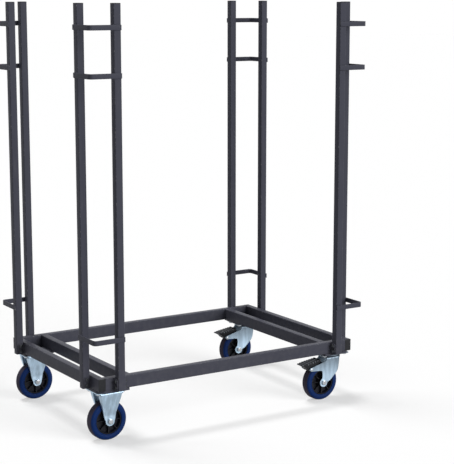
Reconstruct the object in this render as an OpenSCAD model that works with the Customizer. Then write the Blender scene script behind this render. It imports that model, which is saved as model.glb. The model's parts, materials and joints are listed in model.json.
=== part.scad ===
// Banquet table trolley: a rail frame with two posts at each corner and bent guard bars,
// on two fixed castors at the left end and two braked swivel castors at the right end.
// Millimetres. +Z is up, +X runs along the length to the swivel end, +Y to the back.
// The origin is on the floor under the middle of the frame.

/* [Load bay] */
// Clear length between the posts of the two short sides
bay_l = 1218; // [1000:1:1600]
// Clear width between the posts of the two long sides
bay_w = 804; // [660:1:1000]

/* [Rails] */
// Height of the box-section rails
rail_h = 50; // [44:1:80]
// Width of the box-section rails
rail_w = 30; // [25:1:45]
// Wall of the rails
rail_wall = 2.5; // [1.5:0.5:4]
// Flange of the plugs in the ends of the short rails
rail_cap_t = 2; // [1:0.5:4]
// Outside corner radius of the rails and posts
tube_round = 3; // [1:0.5:4]

/* [Posts] */
// Side of the square posts
post_s = 30; // [25:1:40]
// Wall of the posts
post_wall = 2; // [1.5:0.5:4]
// Height of the post tops above the floor, with the caps
post_top = 1700; // [1300:1:2000]
// Flange of the plugs in the post tops
post_cap_t = 3; // [1:0.5:6]
// Length of the plugs that go into the tubes
plug_l = 14; // [6:1:30]
// From the bay's corner to the middle of a post on a short side
end_post_in = 90; // [70:1:200]
// From the bay's corner to the middle of a post on a long side
side_post_in = 86; // [70:1:200]

/* [Post feet] */
// Thickness of the lugs beside each post foot
lug_t = 4; // [3:0.5:8]
// How far the lugs stand out from the rail
lug_d = 26; // [24:1:40]
// Height of the lugs
lug_h = 42; // [36:1:44]
// Cut at the outer corners of the lugs
lug_cut = 6; // [1:1:10]
// Diameter of the bolts through the post feet
foot_bolt_d = 8; // [6:1:10]
// Vertical spacing of the two bolts in each foot
foot_bolt_pitch = 22; // [18:1:26]

/* [Guard bars] */
// Height of the flat bar
bar_h = 20; // [12:1:40]
// Thickness of the flat bar
bar_t = 4; // [3:0.5:8]
// Inside radius of the bend at the corner
bar_bend = 12; // [4:1:30]
// Height of the middle of the top bars above the floor
bar_top_z = 1610; // [1200:1:1650]
// Height of the middle of the second bars above the floor
bar_mid_z = 1431; // [900:1:1550]
// Height of the middle of the low bars above the floor
bar_low_z = 419; // [320:1:700]

/* [Castor mounts] */
// Thickness of the painted plates under the frame corners
mount_t = 10; // [6:1:12]
// How far these plates reach past the castor's own plate
mount_lip = 5; // [2:1:20]
// Cut at the outer corner of these plates
mount_cut = 25; // [5:1:35]
// From the bay's end to the castor's middle, along the length
castor_in_l = 65; // [65:1:120]
// From the bay's side to the castor's middle, across the width
castor_in_w = 65; // [60:1:120]

/* [Castors] */
// Wheel diameter
wheel_d = 160; // [140:1:200]
// Width of the tyre
tyre_w = 46; // [36:1:60]
// Radial thickness of the tyre
tyre_depth = 24; // [14:1:30]
// Radius of the tyre's shoulders
tyre_shoulder = 13; // [4:1:14]
// Room above the wheel, up to the top of the castor's plate
castor_room = 45; // [40:1:60]
// Length of the castor's plate
plate_l = 130; // [125:1:130]
// Width of the castor's plate
plate_w = 110; // [100:1:120]
// Thickness of the castor's plate
plate_t = 4; // [3:0.5:6]
// Corner radius of the castor's plate
plate_round = 8; // [2:1:12]
// Bolt spacing along the castor's plate
plate_pitch_l = 105; // [100:1:110]
// Bolt spacing across the castor's plate
plate_pitch_w = 75; // [70:1:80]
// Diameter of the castor bolts
plate_bolt_d = 10; // [8:1:12]
// Diameter of the bolt holes in the castor's plate
plate_hole_d = 11; // [10.5:0.5:13]
// Sheet thickness of the forks
fork_t = 4; // [3:0.5:6]
// Free play on each side between a wheel's bush and the fork
fork_play = 0.5; // [0.3:0.1:1]
// Axle bolt diameter
axle_d = 12; // [10:1:14]
// Radius of the fork's eye around the axle
eye_r = 19; // [14:1:26]
// Width of a fixed fork's leg under the flare at its top
fixed_leg_w = 86; // [60:1:96]
// Height of that flare, in which the leg widens to the plate
flare_h = 24; // [10:1:40]
// How far a fixed fork's legs lean out on their way up to the plate
fixed_splay = 22; // [0:1:22]
// Height above the axle at which they start to lean
splay_up = 26; // [22:1:40]

/* [Wheel hub] */
// Length of the hub's barrel
hub_l = 54; // [48:1:70]
// Outside radius of the hub's barrel
barrel_r = 20; // [16:1:26]
// Thickness of the hub's web
web_t = 10; // [4:1:20]
// Thickness of the hub's rim
rim_t = 6; // [4:1:10]
// How far the rim stays inside each side of the tyre
rim_in = 3; // [1:1:6]
// Number of ribs on each side of the web
rib_n = 8; // [4:1:12]
// Thickness of those ribs
rib_t = 4; // [2:1:6]
// Outside diameter of the bush in the hub
bush_d = 20; // [18:1:26]
// How far the bush stands out of the hub on each side
bush_proud = 0.5; // [0.2:0.1:2]

/* [Swivel] */
// From the swivel axis back to the wheel's axle
trail = 52; // [40:1:60]
// Radius of the fork's crown
crown_r = 42; // [40:1:46]
// Thickness of the fork's crown
crown_t = 6; // [5:0.5:10]
// Radius of the upper ball race under the plate
race_r = 40; // [36:1:44]
// From the underside of the plate to the middle of the balls
race_h = 10; // [8:0.5:12]
// Gap between the upper race and the crown
race_gap = 0.8; // [0.5:0.1:2]
// Ball diameter
ball_d = 8; // [5:0.5:8]
// Radius of the ring of balls
ball_ring_r = 23; // [21:1:23]
// Number of balls in the ring
ball_n = 14; // [8:1:15]
// Kingpin diameter
king_d = 12; // [10:1:14]
// Diameter of the kingpin's flat head
king_head_d = 26; // [20:1:30]
// Thickness of the kingpin's flat head
king_head_h = 3; // [2:0.5:4]
// Gap between the kingpin's nut and the crown
king_gap = 0.4; // [0.3:0.1:1]
// Front edge of a fork leg at the crown, ahead of the swivel axis
leg_fore = 34; // [28:1:36]
// Back edge of a fork leg at the crown, behind the swivel axis
leg_back = 34; // [28:1:36]
// How far the leg's front edge drops before it sweeps back
leg_drop = 34; // [20:1:50]
// Bulge of the swept edge, ahead of the axle
knee_out = 62; // [50:1:70]
// Bulge of the swept edge, above the axle
knee_up = 28; // [15:1:40]
// Top of the arch behind the leg, above the axle
arch_up = 56; // [40:1:58]

/* [Brake] */
// Diameter of the pedal's pin
pin_d = 8; // [6:1:10]
// Radius of the brake arms' ends around the pin
arm_r = 8; // [8:1:12]
// Radius of the pedal's boss around the pin
pedal_boss_r = 8; // [7:1:9]
// Gap between the pedal's boss and the tyre
brake_gap = 3.2; // [2.5:0.1:5]
// Gap that would be left between the brake shoe and the tyre, if the shoe faced the axle
shoe_gap = 0.2; // [0.1:0.1:1]
// Angle by which the shoe is turned away from the axle when the brake is off
shoe_lag = 30; // [20:1:40]
// Radius of the shoe's tip
shoe_tip_r = 4; // [3:0.5:5]
// Angle of the pin about the axle, from the front
pin_angle = 134.6; // [125:0.1:145]
// Width of the pedal
pedal_w = 50; // [30:1:54]
// From the pin out to the pedal's tip
pedal_out = 44; // [30:1:70]
// From the pin in to the pedal's inner end
pedal_in = 56; // [30:1:60]
// Thickness of the pedal at its tip and its inner end
pedal_t = 8; // [5:1:10]
// Height of the pedal's top above the pin, at the tip
pedal_tip_up = 21; // [8:1:26]
// Height of the pedal's top above the pin, at the inner end
pedal_in_up = 36; // [24:1:38]
// Number of grip ridges across the pedal
ridge_n = 8; // [3:1:10]
// Width of a grip ridge
ridge_w = 4; // [2:0.5:5]
// Height of a grip ridge
ridge_h = 1.5; // [0.5:0.5:2]

/* [Fits] */
// Radial clearance of parts that are fitted and stay put
fit_gap = 0.05; // [0.02:0.01:0.1]
// Radial clearance of parts that turn
run_gap = 0.05; // [0.02:0.01:0.1]
// Radial clearance of bolts in their holes in posts and lugs
bolt_play = 0.25; // [0.1:0.05:0.5]
// Clearance of the plugs in the tubes, on each side
plug_gap = 0.2; // [0.1:0.05:0.5]
// Clearance of the balls in their races
ball_play = 0.3; // [0.2:0.05:0.4]
// How far the castor bolts stop short of the top of the mount plates
tip_gap = 0.5; // [0.2:0.1:2]
// How far bolts stand out of their nuts
bolt_tail = 2; // [1:0.5:4]

/* [Hidden] */
$fn = 64;
paint = "#3d4248";
zinc = "#b9c3cc";
bright = "#d5d8da";
black = "#1f2023";
blue = "#1d3f8c";

// Hexagon sizes follow the bolt: width across corners, head height and nut height
hex_ratio = 1.85;
head_ratio = 0.64;
nut_ratio = 0.8;
// The pedal pin's flat heads, in pin diameters and in millimetres
pin_head_ratio = 1.6;
pin_head_h = 2;
// Where straight edges meet a round eye, as a share of its radius
bite = 0.95;
// Least inside corner radius of a tube
inner_round = 0.4;
// How far a cutting shape runs past what it cuts
over = 1;

castor_h = wheel_d + castor_room;
axle_z = wheel_d / 2;
rail_z = castor_h + mount_t;
rail_mid = rail_z + rail_h / 2;
long_rail_l = bay_l - 2 * rail_w;
short_rail_l = bay_w - 2 * rail_cap_t;
cross_rail_l = bay_w - 2 * rail_w;
post_h = post_top - post_cap_t - rail_z;
castor_x = bay_l / 2 - castor_in_l;
castor_y = bay_w / 2 - castor_in_w;
mount_in_x = castor_x - plate_l / 2 - mount_lip;
mount_in_y = castor_y - plate_w / 2 - mount_lip;
wheel_x = castor_x - trail;

bush_l = hub_l + 2 * bush_proud;
fork_gap = bush_l + 2 * fork_play;
fork_w = fork_gap + 2 * fork_t;
flare_w = plate_l - 2 * plate_round;
rim_r = wheel_d / 2 - tyre_depth;
rim_w = tyre_w - 2 * rim_in;

plate_under = castor_h - plate_t;
race_z = plate_under - race_h;
crown_top = race_z - race_gap / 2;
crown_under = crown_top - crown_t;

// The pin sits just outside the tyre, seen from the side of the castor
pin_r = wheel_d / 2 + brake_gap + pedal_boss_r;
pin_u = pin_r * cos(pin_angle) - trail;
pin_z = axle_z + pin_r * sin(pin_angle);

sides = [-1, 1];
front = -1;
back = 1;
left = -1;
right = 1;

// Rectangle with round corners
module rounded_rect(l, w, r) {
    square([l - 2 * r, w], center = true);
    square([l, w - 2 * r], center = true);
    for (x = sides, y = sides)
        translate([x * (l / 2 - r), y * (w / 2 - r)]) circle(r);
}

// Box-section tube standing on the XY plane
module tube(l, w, wall, h) {
    linear_extrude(h) difference() {
        rounded_rect(l, w, tube_round);
        rounded_rect(l - 2 * wall, w - 2 * wall, max(tube_round - wall, inner_round));
    }
}

// Plug for a box-section tube: its flange starts at the XY plane, its plug hangs below
module tube_plug(l, w, wall, flange) {
    inset = 2 * (wall + plug_gap + inner_round);
    linear_extrude(flange) rounded_rect(l, w, tube_round);
    translate([0, 0, -plug_l]) linear_extrude(plug_l)
        square([l - inset, w - inset], center = true);
}

// Hexagon bolt head or nut blank standing on the XY plane
module hexagon(d, h) {
    cylinder(h = h, d = d * hex_ratio, $fn = 6);
}

// Carries a shape from the back right corner to any corner
module corner(sx, sy) {
    mirror([sx == left ? 1 : 0, 0, 0]) mirror([0, sy == front ? 1 : 0, 0]) children();
}

// Frame at the foot of a post on a short side: x points out of the rail, y to the corner
module at_end_post(sx, sy) {
    corner(sx, sy) translate([bay_l / 2, bay_w / 2 - end_post_in, rail_mid]) children();
}

// The same at the foot of a post on a long side
module at_side_post(sx, sy) {
    corner(sx, sy) translate([bay_l / 2 - side_post_in, bay_w / 2, rail_mid])
        mirror([1, -1, 0]) children();
}

// The same at every post
module at_all_posts() {
    for (sx = sides, sy = sides) {
        at_end_post(sx, sy) children();
        at_side_post(sx, sy) children();
    }
}

// Rails and what closes them

module long_rail(sy) {
    color(paint) translate([-long_rail_l / 2, sy * (bay_w - rail_w) / 2, rail_mid])
        rotate([90, 0, 90]) tube(rail_w, rail_h, rail_wall, long_rail_l);
}

module short_rail(sx) {
    color(paint) translate([sx * (bay_l - rail_w) / 2, short_rail_l / 2, rail_mid])
        rotate([90, 0, 0]) tube(rail_w, rail_h, rail_wall, short_rail_l);
}

module cross_rail(sx) {
    color(paint) translate([sx * mount_in_x, cross_rail_l / 2, rail_mid])
        rotate([90, 0, 0]) tube(rail_w, rail_h, rail_wall, cross_rail_l);
}

module rail_caps() {
    color(black) for (sx = sides, sy = sides)
        corner(sx, sy) translate([(bay_l - rail_w) / 2, short_rail_l / 2, rail_mid])
            rotate([-90, 0, 0]) tube_plug(rail_w, rail_h, rail_wall, rail_cap_t);
}

// Places of the four bolts of one castor plate, about the castor's middle
module at_plate_bolts() {
    for (x = sides, y = sides)
        translate([x * plate_pitch_l / 2, y * plate_pitch_w / 2, 0]) children();
}

module mount_plates() {
    color(paint) for (sx = sides, sy = sides)
        corner(sx, sy) translate([0, 0, castor_h]) difference() {
            linear_extrude(mount_t) polygon([
                [mount_in_x, mount_in_y],
                [bay_l / 2, mount_in_y],
                [bay_l / 2, bay_w / 2 - mount_cut],
                [bay_l / 2 - mount_cut, bay_w / 2],
                [mount_in_x, bay_w / 2]
            ]);
            translate([castor_x, castor_y, -over]) at_plate_bolts()
                cylinder(h = mount_t + 2 * over, r = plate_bolt_d / 2 + fit_gap);
        }
}

module castor_bolts() {
    head_h = plate_bolt_d * head_ratio;
    color(bright) for (sx = sides, sy = sides)
        corner(sx, sy) translate([castor_x, castor_y, plate_under]) at_plate_bolts() {
            translate([0, 0, -head_h]) hexagon(plate_bolt_d, head_h);
            cylinder(h = plate_t + mount_t - tip_gap, d = plate_bolt_d);
        }
}

// Posts, their feet and the guard bars

// Two bolt axes across a post foot, along y
module at_foot_bolts() {
    for (z = sides)
        translate([post_s / 2, 0, z * foot_bolt_pitch / 2]) rotate([-90, 0, 0]) children();
}

module foot_holes() {
    reach = post_s + 4 * lug_t;
    at_foot_bolts() cylinder(h = reach, r = foot_bolt_d / 2 + bolt_play, center = true);
}

// A post in the frame of its foot
module post() {
    color(paint) difference() {
        translate([post_s / 2, 0, -rail_h / 2]) tube(post_s, post_s, post_wall, post_h);
        foot_holes();
    }
}

module post_caps() {
    color(black) at_all_posts()
        translate([post_s / 2, 0, post_h - rail_h / 2])
            tube_plug(post_s, post_s, post_wall, post_cap_t);
}

// One lug on each side of every post foot, standing out from the rail
module post_lugs() {
    color(paint) at_all_posts() difference() {
        for (y = sides)
            translate([0, y * (post_s + lug_t) / 2 + lug_t / 2, 0]) rotate([90, 0, 0])
                linear_extrude(lug_t) polygon([
                    [0, -lug_h / 2],
                    [lug_d - lug_cut, -lug_h / 2],
                    [lug_d, lug_cut - lug_h / 2],
                    [lug_d, lug_h / 2 - lug_cut],
                    [lug_d - lug_cut, lug_h / 2],
                    [0, lug_h / 2]
                ]);
        foot_holes();
    }
}

module foot_bolts() {
    grip = post_s / 2 + lug_t;
    tail = foot_bolt_d * nut_ratio + bolt_tail;
    color(bright) at_all_posts() at_foot_bolts() {
        translate([0, 0, grip]) hexagon(foot_bolt_d, foot_bolt_d * head_ratio);
        translate([0, 0, -grip - tail]) cylinder(h = 2 * grip + tail, d = foot_bolt_d);
    }
}

module foot_nuts() {
    grip = post_s / 2 + lug_t;
    nut_h = foot_bolt_d * nut_ratio;
    color(bright) at_all_posts() at_foot_bolts() translate([0, 0, -grip - nut_h]) difference() {
        hexagon(foot_bolt_d, nut_h);
        translate([0, 0, -over]) cylinder(h = nut_h + 2 * over, r = foot_bolt_d / 2 + fit_gap);
    }
}

// Flat bar bent round the outside of a corner, from the far edge of one post to the other's
module guard_bar(sx, sy, z) {
    end_leg = end_post_in + 1.5 * post_s - bar_bend;
    side_leg = side_post_in + 1.5 * post_s - bar_bend;
    outer = bar_bend + bar_t;
    color(paint) corner(sx, sy)
        translate([bay_l / 2 + post_s - bar_bend, bay_w / 2 + post_s - bar_bend, z - bar_h / 2])
            linear_extrude(bar_h) {
                translate([bar_bend, -end_leg]) square([bar_t, end_leg]);
                translate([-side_leg, bar_bend]) square([side_leg, bar_t]);
                intersection() {
                    difference() {
                        circle(outer);
                        circle(bar_bend);
                    }
                    square(outer);
                }
            }
}

// Castors: plates, forks, axles and brakes

// Frame at the middle of a castor, on the floor
module at_castor(sx, sy) {
    translate([sx * castor_x, sy * castor_y, 0]) children();
}

// The castor's own plate, with its bolt holes
module castor_plate() {
    translate([0, 0, plate_under]) difference() {
        linear_extrude(plate_t) rounded_rect(plate_l, plate_w, plate_round);
        translate([0, 0, -over]) at_plate_bolts()
            cylinder(h = plate_t + 2 * over, d = plate_hole_d);
    }
}

// Two like sheets of a fork, from an outline seen from the front
module fork_sides() {
    for (y = sides)
        translate([0, y * (fork_gap + fork_t) / 2 + fork_t / 2, 0]) rotate([90, 0, 0])
            linear_extrude(fork_t) children();
}

// One leg of a fixed fork seen along the length: upright at the axle, then leaning out
module splayed_sheet() {
    inner = fork_gap / 2;
    foot = axle_z - eye_r;
    knee = axle_z + splay_up;
    top = plate_under + plate_t / 2;
    rotate([90, 0, 90]) linear_extrude(plate_l, center = true) polygon([
        [inner, foot - over],
        [inner + fork_t, foot - over],
        [inner + fork_t, knee],
        [inner + fork_t + fixed_splay, top],
        [inner + fixed_splay, top],
        [inner, knee]
    ]);
}

// Bore across the whole fork
module fork_bore(x, z, r) {
    translate([x, 0, z]) rotate([90, 0, 0]) cylinder(h = fork_w + 2 * over, r = r, center = true);
}

module fixed_fork(sy) {
    color(zinc) at_castor(left, sy) difference() {
        union() {
            castor_plate();
            intersection() {
                rotate([90, 0, 0]) linear_extrude(plate_w, center = true) {
                    polygon([
                        [-flare_w / 2, castor_h],
                        [flare_w / 2, castor_h],
                        [fixed_leg_w / 2, castor_h - flare_h],
                        [bite * eye_r, axle_z],
                        [-bite * eye_r, axle_z],
                        [-fixed_leg_w / 2, castor_h - flare_h]
                    ]);
                    translate([0, axle_z]) circle(eye_r);
                }
                for (y = sides)
                    mirror([0, y == front ? 1 : 0, 0]) splayed_sheet();
            }
        }
        fork_bore(0, axle_z, axle_d / 2 + fit_gap);
    }
}

// Axle bolt through a fork and a bush, with its head on the outer side, and its nut
module axle(sy) {
    nut_h = axle_d * nut_ratio;
    tail = nut_h + bolt_tail;
    rotate([sy == front ? 90 : -90, 0, 0]) {
        translate([0, 0, fork_w / 2]) hexagon(axle_d, axle_d * head_ratio);
        translate([0, 0, -fork_w / 2 - tail]) cylinder(h = fork_w + tail, d = axle_d);
        translate([0, 0, -fork_w / 2 - nut_h]) difference() {
            hexagon(axle_d, nut_h);
            translate([0, 0, -over]) cylinder(h = nut_h + 2 * over, r = axle_d / 2 + fit_gap);
        }
    }
}

module fixed_axles() {
    color(bright) for (sy = sides)
        at_castor(left, sy) translate([0, 0, axle_z]) axle(sy);
}

// Groove that the balls run in
module ball_groove() {
    translate([0, 0, race_z]) rotate_extrude()
        translate([ball_ring_r, 0]) circle(ball_d / 2 + ball_play);
}

module swivel_plate(sy) {
    boss_z = race_z + race_gap / 2;
    color(zinc) at_castor(right, sy) difference() {
        union() {
            castor_plate();
            translate([0, 0, boss_z]) cylinder(h = plate_under + plate_t / 2 - boss_z, r = race_r);
        }
        ball_groove();
        translate([0, 0, boss_z - over]) cylinder(h = castor_h, r = king_d / 2 + fit_gap);
        translate([0, 0, castor_h - king_head_h])
            cylinder(h = king_head_h + over, r = king_head_d / 2 + fit_gap);
    }
}

module kingpin(sy) {
    nut_h = king_d * nut_ratio;
    nut_z = crown_under - king_gap - nut_h;
    color(bright) at_castor(right, sy) {
        translate([0, 0, castor_h - king_head_h]) cylinder(h = king_head_h, d = king_head_d);
        translate([0, 0, nut_z - bolt_tail])
            cylinder(h = castor_h - king_head_h - nut_z + bolt_tail, d = king_d);
        translate([0, 0, nut_z]) difference() {
            hexagon(king_d, nut_h);
            translate([0, 0, -over]) cylinder(h = nut_h + 2 * over, r = king_d / 2 + fit_gap);
        }
    }
}

module swivel_balls(sy) {
    color(bright) at_castor(right, sy)
        for (i = [0 : ball_n - 1])
            rotate([0, 0, i * 360 / ball_n]) translate([ball_ring_r, 0, race_z]) sphere(d = ball_d);
}

// Outline of a swivel fork's leg and its brake arm; x is measured from the swivel axis
module swivel_leg() {
    polygon([
        [leg_fore, crown_top],
        [leg_fore - fork_t, crown_top - leg_drop],
        [knee_out - trail, axle_z + knee_up],
        [bite * eye_r * cos(-30) - trail, axle_z + bite * eye_r * sin(-30)],
        [-eye_r / 3 - trail, axle_z],
        [-eye_r / 3 - trail, axle_z + arch_up],
        [pin_u, pin_z - bite * arm_r],
        [pin_u, pin_z + bite * arm_r],
        [-leg_back - fork_t, crown_under - fork_t],
        [-leg_back, crown_top]
    ]);
    translate([-trail, axle_z]) circle(eye_r);
    translate([pin_u, pin_z]) circle(arm_r);
}

module swivel_fork(sy) {
    color(zinc) at_castor(right, sy) difference() {
        union() {
            translate([0, 0, crown_under]) linear_extrude(crown_t) intersection() {
                circle(crown_r);
                square([2 * crown_r, fork_w], center = true);
            }
            fork_sides() swivel_leg();
        }
        ball_groove();
        translate([0, 0, crown_under - over])
            cylinder(h = crown_t + 2 * over, r = king_d / 2 + run_gap);
        fork_bore(-trail, axle_z, axle_d / 2 + fit_gap);
        fork_bore(pin_u, pin_z, pin_d / 2 + fit_gap);
    }
}

// The axle bolt and nut of a swivel fork, and the headed pin of its brake pedal
module swivel_pins(sy) {
    color(bright) at_castor(right, sy) {
        translate([-trail, 0, axle_z]) axle(sy);
        translate([pin_u, 0, pin_z]) rotate([90, 0, 0]) {
            cylinder(h = fork_w, d = pin_d, center = true);
            for (z = sides)
                translate([0, 0, z * (fork_w + pin_head_h) / 2])
                    cylinder(h = pin_head_h, d = pin_head_ratio * pin_d, center = true);
        }
    }
}

// Rocker pedal: a wedge on a boss around its pin, with grip ridges along its top.
// The shoe is a cam on the boss: it swings towards the tyre as the tip goes down.
module brake_pedal(sy) {
    run = pedal_out + pedal_in;
    slope = atan2(pedal_in_up - pedal_tip_up, run);
    shoe_r = pedal_boss_r + brake_gap - shoe_gap;
    ridge_pitch = run / cos(slope) / ridge_n;
    color(black) at_castor(right, sy) translate([pin_u, pedal_w / 2, pin_z]) rotate([90, 0, 0])
        linear_extrude(pedal_w) difference() {
            union() {
                polygon([
                    [-pedal_out, pedal_tip_up],
                    [-pedal_out + pedal_t / 2, pedal_tip_up - pedal_t],
                    [-bite * pedal_boss_r, 0],
                    [bite * pedal_boss_r, 0],
                    [pedal_in, pedal_in_up - pedal_t],
                    [pedal_in, pedal_in_up]
                ]);
                circle(pedal_boss_r);
                rotate(pin_angle - 180 - shoe_lag) translate([shoe_r - shoe_tip_r, 0])
                    circle(shoe_tip_r);
                translate([-pedal_out, pedal_tip_up]) rotate(slope)
                    for (i = [0 : ridge_n - 1])
                        translate([(i + 0.5) * ridge_pitch - ridge_w / 2, -ridge_h])
                            square([ridge_w, 2 * ridge_h]);
            }
            circle(pin_d / 2 + run_gap);
        }
}

// Wheels

// Frame of a wheel: z runs along its axle
module at_wheel(sx, sy) {
    translate([sx == left ? -castor_x : wheel_x, sy * castor_y, axle_z])
        rotate([90, 0, 0]) children();
}

module tyre(sx, sy) {
    inner = rim_r + fit_gap;
    flank = wheel_d / 2 - tyre_shoulder;
    half = tyre_w / 2;
    color(blue) at_wheel(sx, sy) rotate_extrude() {
        translate([inner, -half]) square([flank - inner, tyre_w]);
        translate([flank, tyre_shoulder - half])
            square([tyre_shoulder, tyre_w - 2 * tyre_shoulder]);
        for (y = sides)
            translate([flank, y * (half - tyre_shoulder)]) intersection() {
                circle(tyre_shoulder);
                translate([0, -tyre_shoulder]) square([tyre_shoulder, 2 * tyre_shoulder]);
            }
    }
}

module hub(sx, sy) {
    rim_inner = rim_r - rim_t;
    color(black) at_wheel(sx, sy) difference() {
        union() {
            cylinder(h = hub_l, r = barrel_r, center = true);
            cylinder(h = web_t, r = rim_r, center = true);
            difference() {
                cylinder(h = rim_w, r = rim_r, center = true);
                cylinder(h = rim_w + 2 * over, r = rim_inner, center = true);
            }
            for (i = [0 : rib_n - 1])
                rotate([0, 0, i * 360 / rib_n])
                    translate([barrel_r - over, -rib_t / 2, rim_in - rim_w / 2])
                        cube([rim_inner - barrel_r + 2 * over, rib_t, rim_w - 2 * rim_in]);
        }
        cylinder(h = hub_l + 2 * over, r = bush_d / 2 + fit_gap, center = true);
    }
}

module bush(sx, sy) {
    color(bright) at_wheel(sx, sy) difference() {
        cylinder(h = bush_l, d = bush_d, center = true);
        cylinder(h = bush_l + 2 * over, r = axle_d / 2 + run_gap, center = true);
    }
}

long_rail(front);  // front_rail
long_rail(back);  // back_rail
short_rail(left);  // left_rail
short_rail(right);  // right_rail
cross_rail(left);  // left_cross_rail
cross_rail(right);  // right_cross_rail
rail_caps();
mount_plates();
at_end_post(left, front) post();  // left_post_front
at_end_post(left, back) post();  // left_post_back
at_end_post(right, front) post();  // right_post_front
at_end_post(right, back) post();  // right_post_back
at_side_post(left, front) post();  // front_post_left
at_side_post(right, front) post();  // front_post_right
at_side_post(left, back) post();  // back_post_left
at_side_post(right, back) post();  // back_post_right
post_caps();
post_lugs();
foot_bolts();
foot_nuts();
guard_bar(left, front, bar_top_z);  // top_bar_front_left
guard_bar(left, front, bar_mid_z);  // middle_bar_front_left
guard_bar(left, front, bar_low_z);  // low_bar_front_left
guard_bar(left, back, bar_top_z);  // top_bar_back_left
guard_bar(left, back, bar_mid_z);  // middle_bar_back_left
guard_bar(left, back, bar_low_z);  // low_bar_back_left
guard_bar(right, front, bar_top_z);  // top_bar_front_right
guard_bar(right, front, bar_mid_z);  // middle_bar_front_right
guard_bar(right, front, bar_low_z);  // low_bar_front_right
guard_bar(right, back, bar_top_z);  // top_bar_back_right
guard_bar(right, back, bar_mid_z);  // middle_bar_back_right
guard_bar(right, back, bar_low_z);  // low_bar_back_right
castor_bolts();
fixed_fork(front);  // fixed_fork_front
fixed_fork(back);  // fixed_fork_back
fixed_axles();
swivel_plate(front);  // swivel_plate_front
swivel_plate(back);  // swivel_plate_back
kingpin(front);  // kingpin_front
kingpin(back);  // kingpin_back
swivel_balls(front);  // swivel_balls_front
swivel_balls(back);  // swivel_balls_back
swivel_fork(front);  // swivel_fork_front
swivel_fork(back);  // swivel_fork_back
swivel_pins(front);  // swivel_pins_front
swivel_pins(back);  // swivel_pins_back
brake_pedal(front);  // brake_pedal_front
brake_pedal(back);  // brake_pedal_back
tyre(left, front);  // tyre_front_left
tyre(left, back);  // tyre_back_left
tyre(right, front);  // tyre_front_right
tyre(right, back);  // tyre_back_right
hub(left, front);  // hub_front_left
hub(left, back);  // hub_back_left
hub(right, front);  // hub_front_right
hub(right, back);  // hub_back_right
bush(left, front);  // bush_front_left
bush(left, back);  // bush_back_left
bush(right, front);  // bush_front_right
bush(right, back);  // bush_back_right
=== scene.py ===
import json
import math

import bmesh
import bpy
import numpy as np
from bpy.props import FloatProperty, FloatVectorProperty, IntProperty, PointerProperty
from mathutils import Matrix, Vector


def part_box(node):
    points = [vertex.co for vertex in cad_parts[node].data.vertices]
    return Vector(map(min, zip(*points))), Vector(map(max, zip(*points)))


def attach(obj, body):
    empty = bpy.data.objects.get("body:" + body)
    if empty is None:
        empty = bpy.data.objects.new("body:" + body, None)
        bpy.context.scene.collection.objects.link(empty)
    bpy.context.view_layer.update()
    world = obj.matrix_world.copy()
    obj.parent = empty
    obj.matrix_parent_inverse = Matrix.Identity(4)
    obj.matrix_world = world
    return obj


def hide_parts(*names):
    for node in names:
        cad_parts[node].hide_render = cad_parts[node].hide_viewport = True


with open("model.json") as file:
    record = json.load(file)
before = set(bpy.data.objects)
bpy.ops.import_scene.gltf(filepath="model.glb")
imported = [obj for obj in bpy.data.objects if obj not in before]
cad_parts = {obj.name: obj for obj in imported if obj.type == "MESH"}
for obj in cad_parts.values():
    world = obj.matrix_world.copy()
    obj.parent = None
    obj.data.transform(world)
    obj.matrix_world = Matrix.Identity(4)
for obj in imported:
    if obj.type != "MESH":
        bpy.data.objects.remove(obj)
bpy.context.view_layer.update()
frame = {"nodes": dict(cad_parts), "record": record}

bl_info = {
    "name": "Table trolley",
    "version": (1, 0, 0),
    "blender": (4, 5, 0),
    "location": "3D View > Sidebar > Trolley",
    "description": "Finishes the trolley's frame, castors and brakes piece by piece",
    "category": "Object",
}

SIDES = (-1, 1)
ENDS = {-1: "left", 1: "right"}
FLANKS = {-1: "front", 1: "back"}
LEVELS = ("top", "middle", "low")
CORNERS = [(sx, sy) for sx in SIDES for sy in SIDES]
CASTORS = [f"{FLANKS[sy]}_{ENDS[sx]}" for sx, sy in CORNERS]
X, Y, Z = 0, 1, 2
UP = np.array([0.0, 0.0, 1.0])

# Each post, with the axis along which it stands out from its rail and the signs of its corner
POSTS = {}
for corner in CORNERS:
    POSTS[f"{ENDS[corner[X]]}_post_{FLANKS[corner[Y]]}"] = X, corner
    POSTS[f"{FLANKS[corner[Y]]}_post_{ENDS[corner[X]]}"] = Y, corner

# Hexagon bolts, in bolt diameters: width across flats, heights of head and nut, thread pitch
HEX_ACROSS, HEAD_H, NUT_H, THREAD = 1.85 * 0.866, 0.64, 0.8, 0.13
BOLT_END = 0.002    # how far a bolt stands out of its nut, in metres

# Studio: each sun's direction, strength and spread in degrees, the strength of the surroundings
# where they light the trolley, the depth of shadow that the floor shows, and half its width
SUNS = {"key": ((0.15, -0.25, -0.95), 2.2, 20.0), "fill": ((-0.40, 0.85, -0.35), 2.6, 40.0)}
SKY, SHADOW, FLOOR_HALF = 0.15, 0.5, 40.0

# Camera: place, turn to the right and downward tilt in radians, lens in millimetres
EYE, YAW, PITCH, LENS = (-3.0007, -5.0897, 1.7430), 0.5659, 0.1699, 111.37


def box(node):
    """Lowest and highest corner of a frame node, as arrays."""
    low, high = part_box(node)
    return np.array(low), np.array(high)


def middle_of(node):
    """Middle of a frame node's box."""
    return sum(box(node)) / 2


def srgb(red, green, blue):
    """A colour given in screen values from 0 to 255, as the linear values that shaders use."""
    c = np.array([red, green, blue]) / 255
    return tuple(np.where(c <= 0.04045, c / 12.92, ((c + 0.055) / 1.055) ** 2.4).tolist())


def length(name, description, default):
    """A size in metres for a settings group."""
    return FloatProperty(name=name, description=description, default=default, min=0.0,
                         unit="LENGTH", precision=4)


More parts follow.
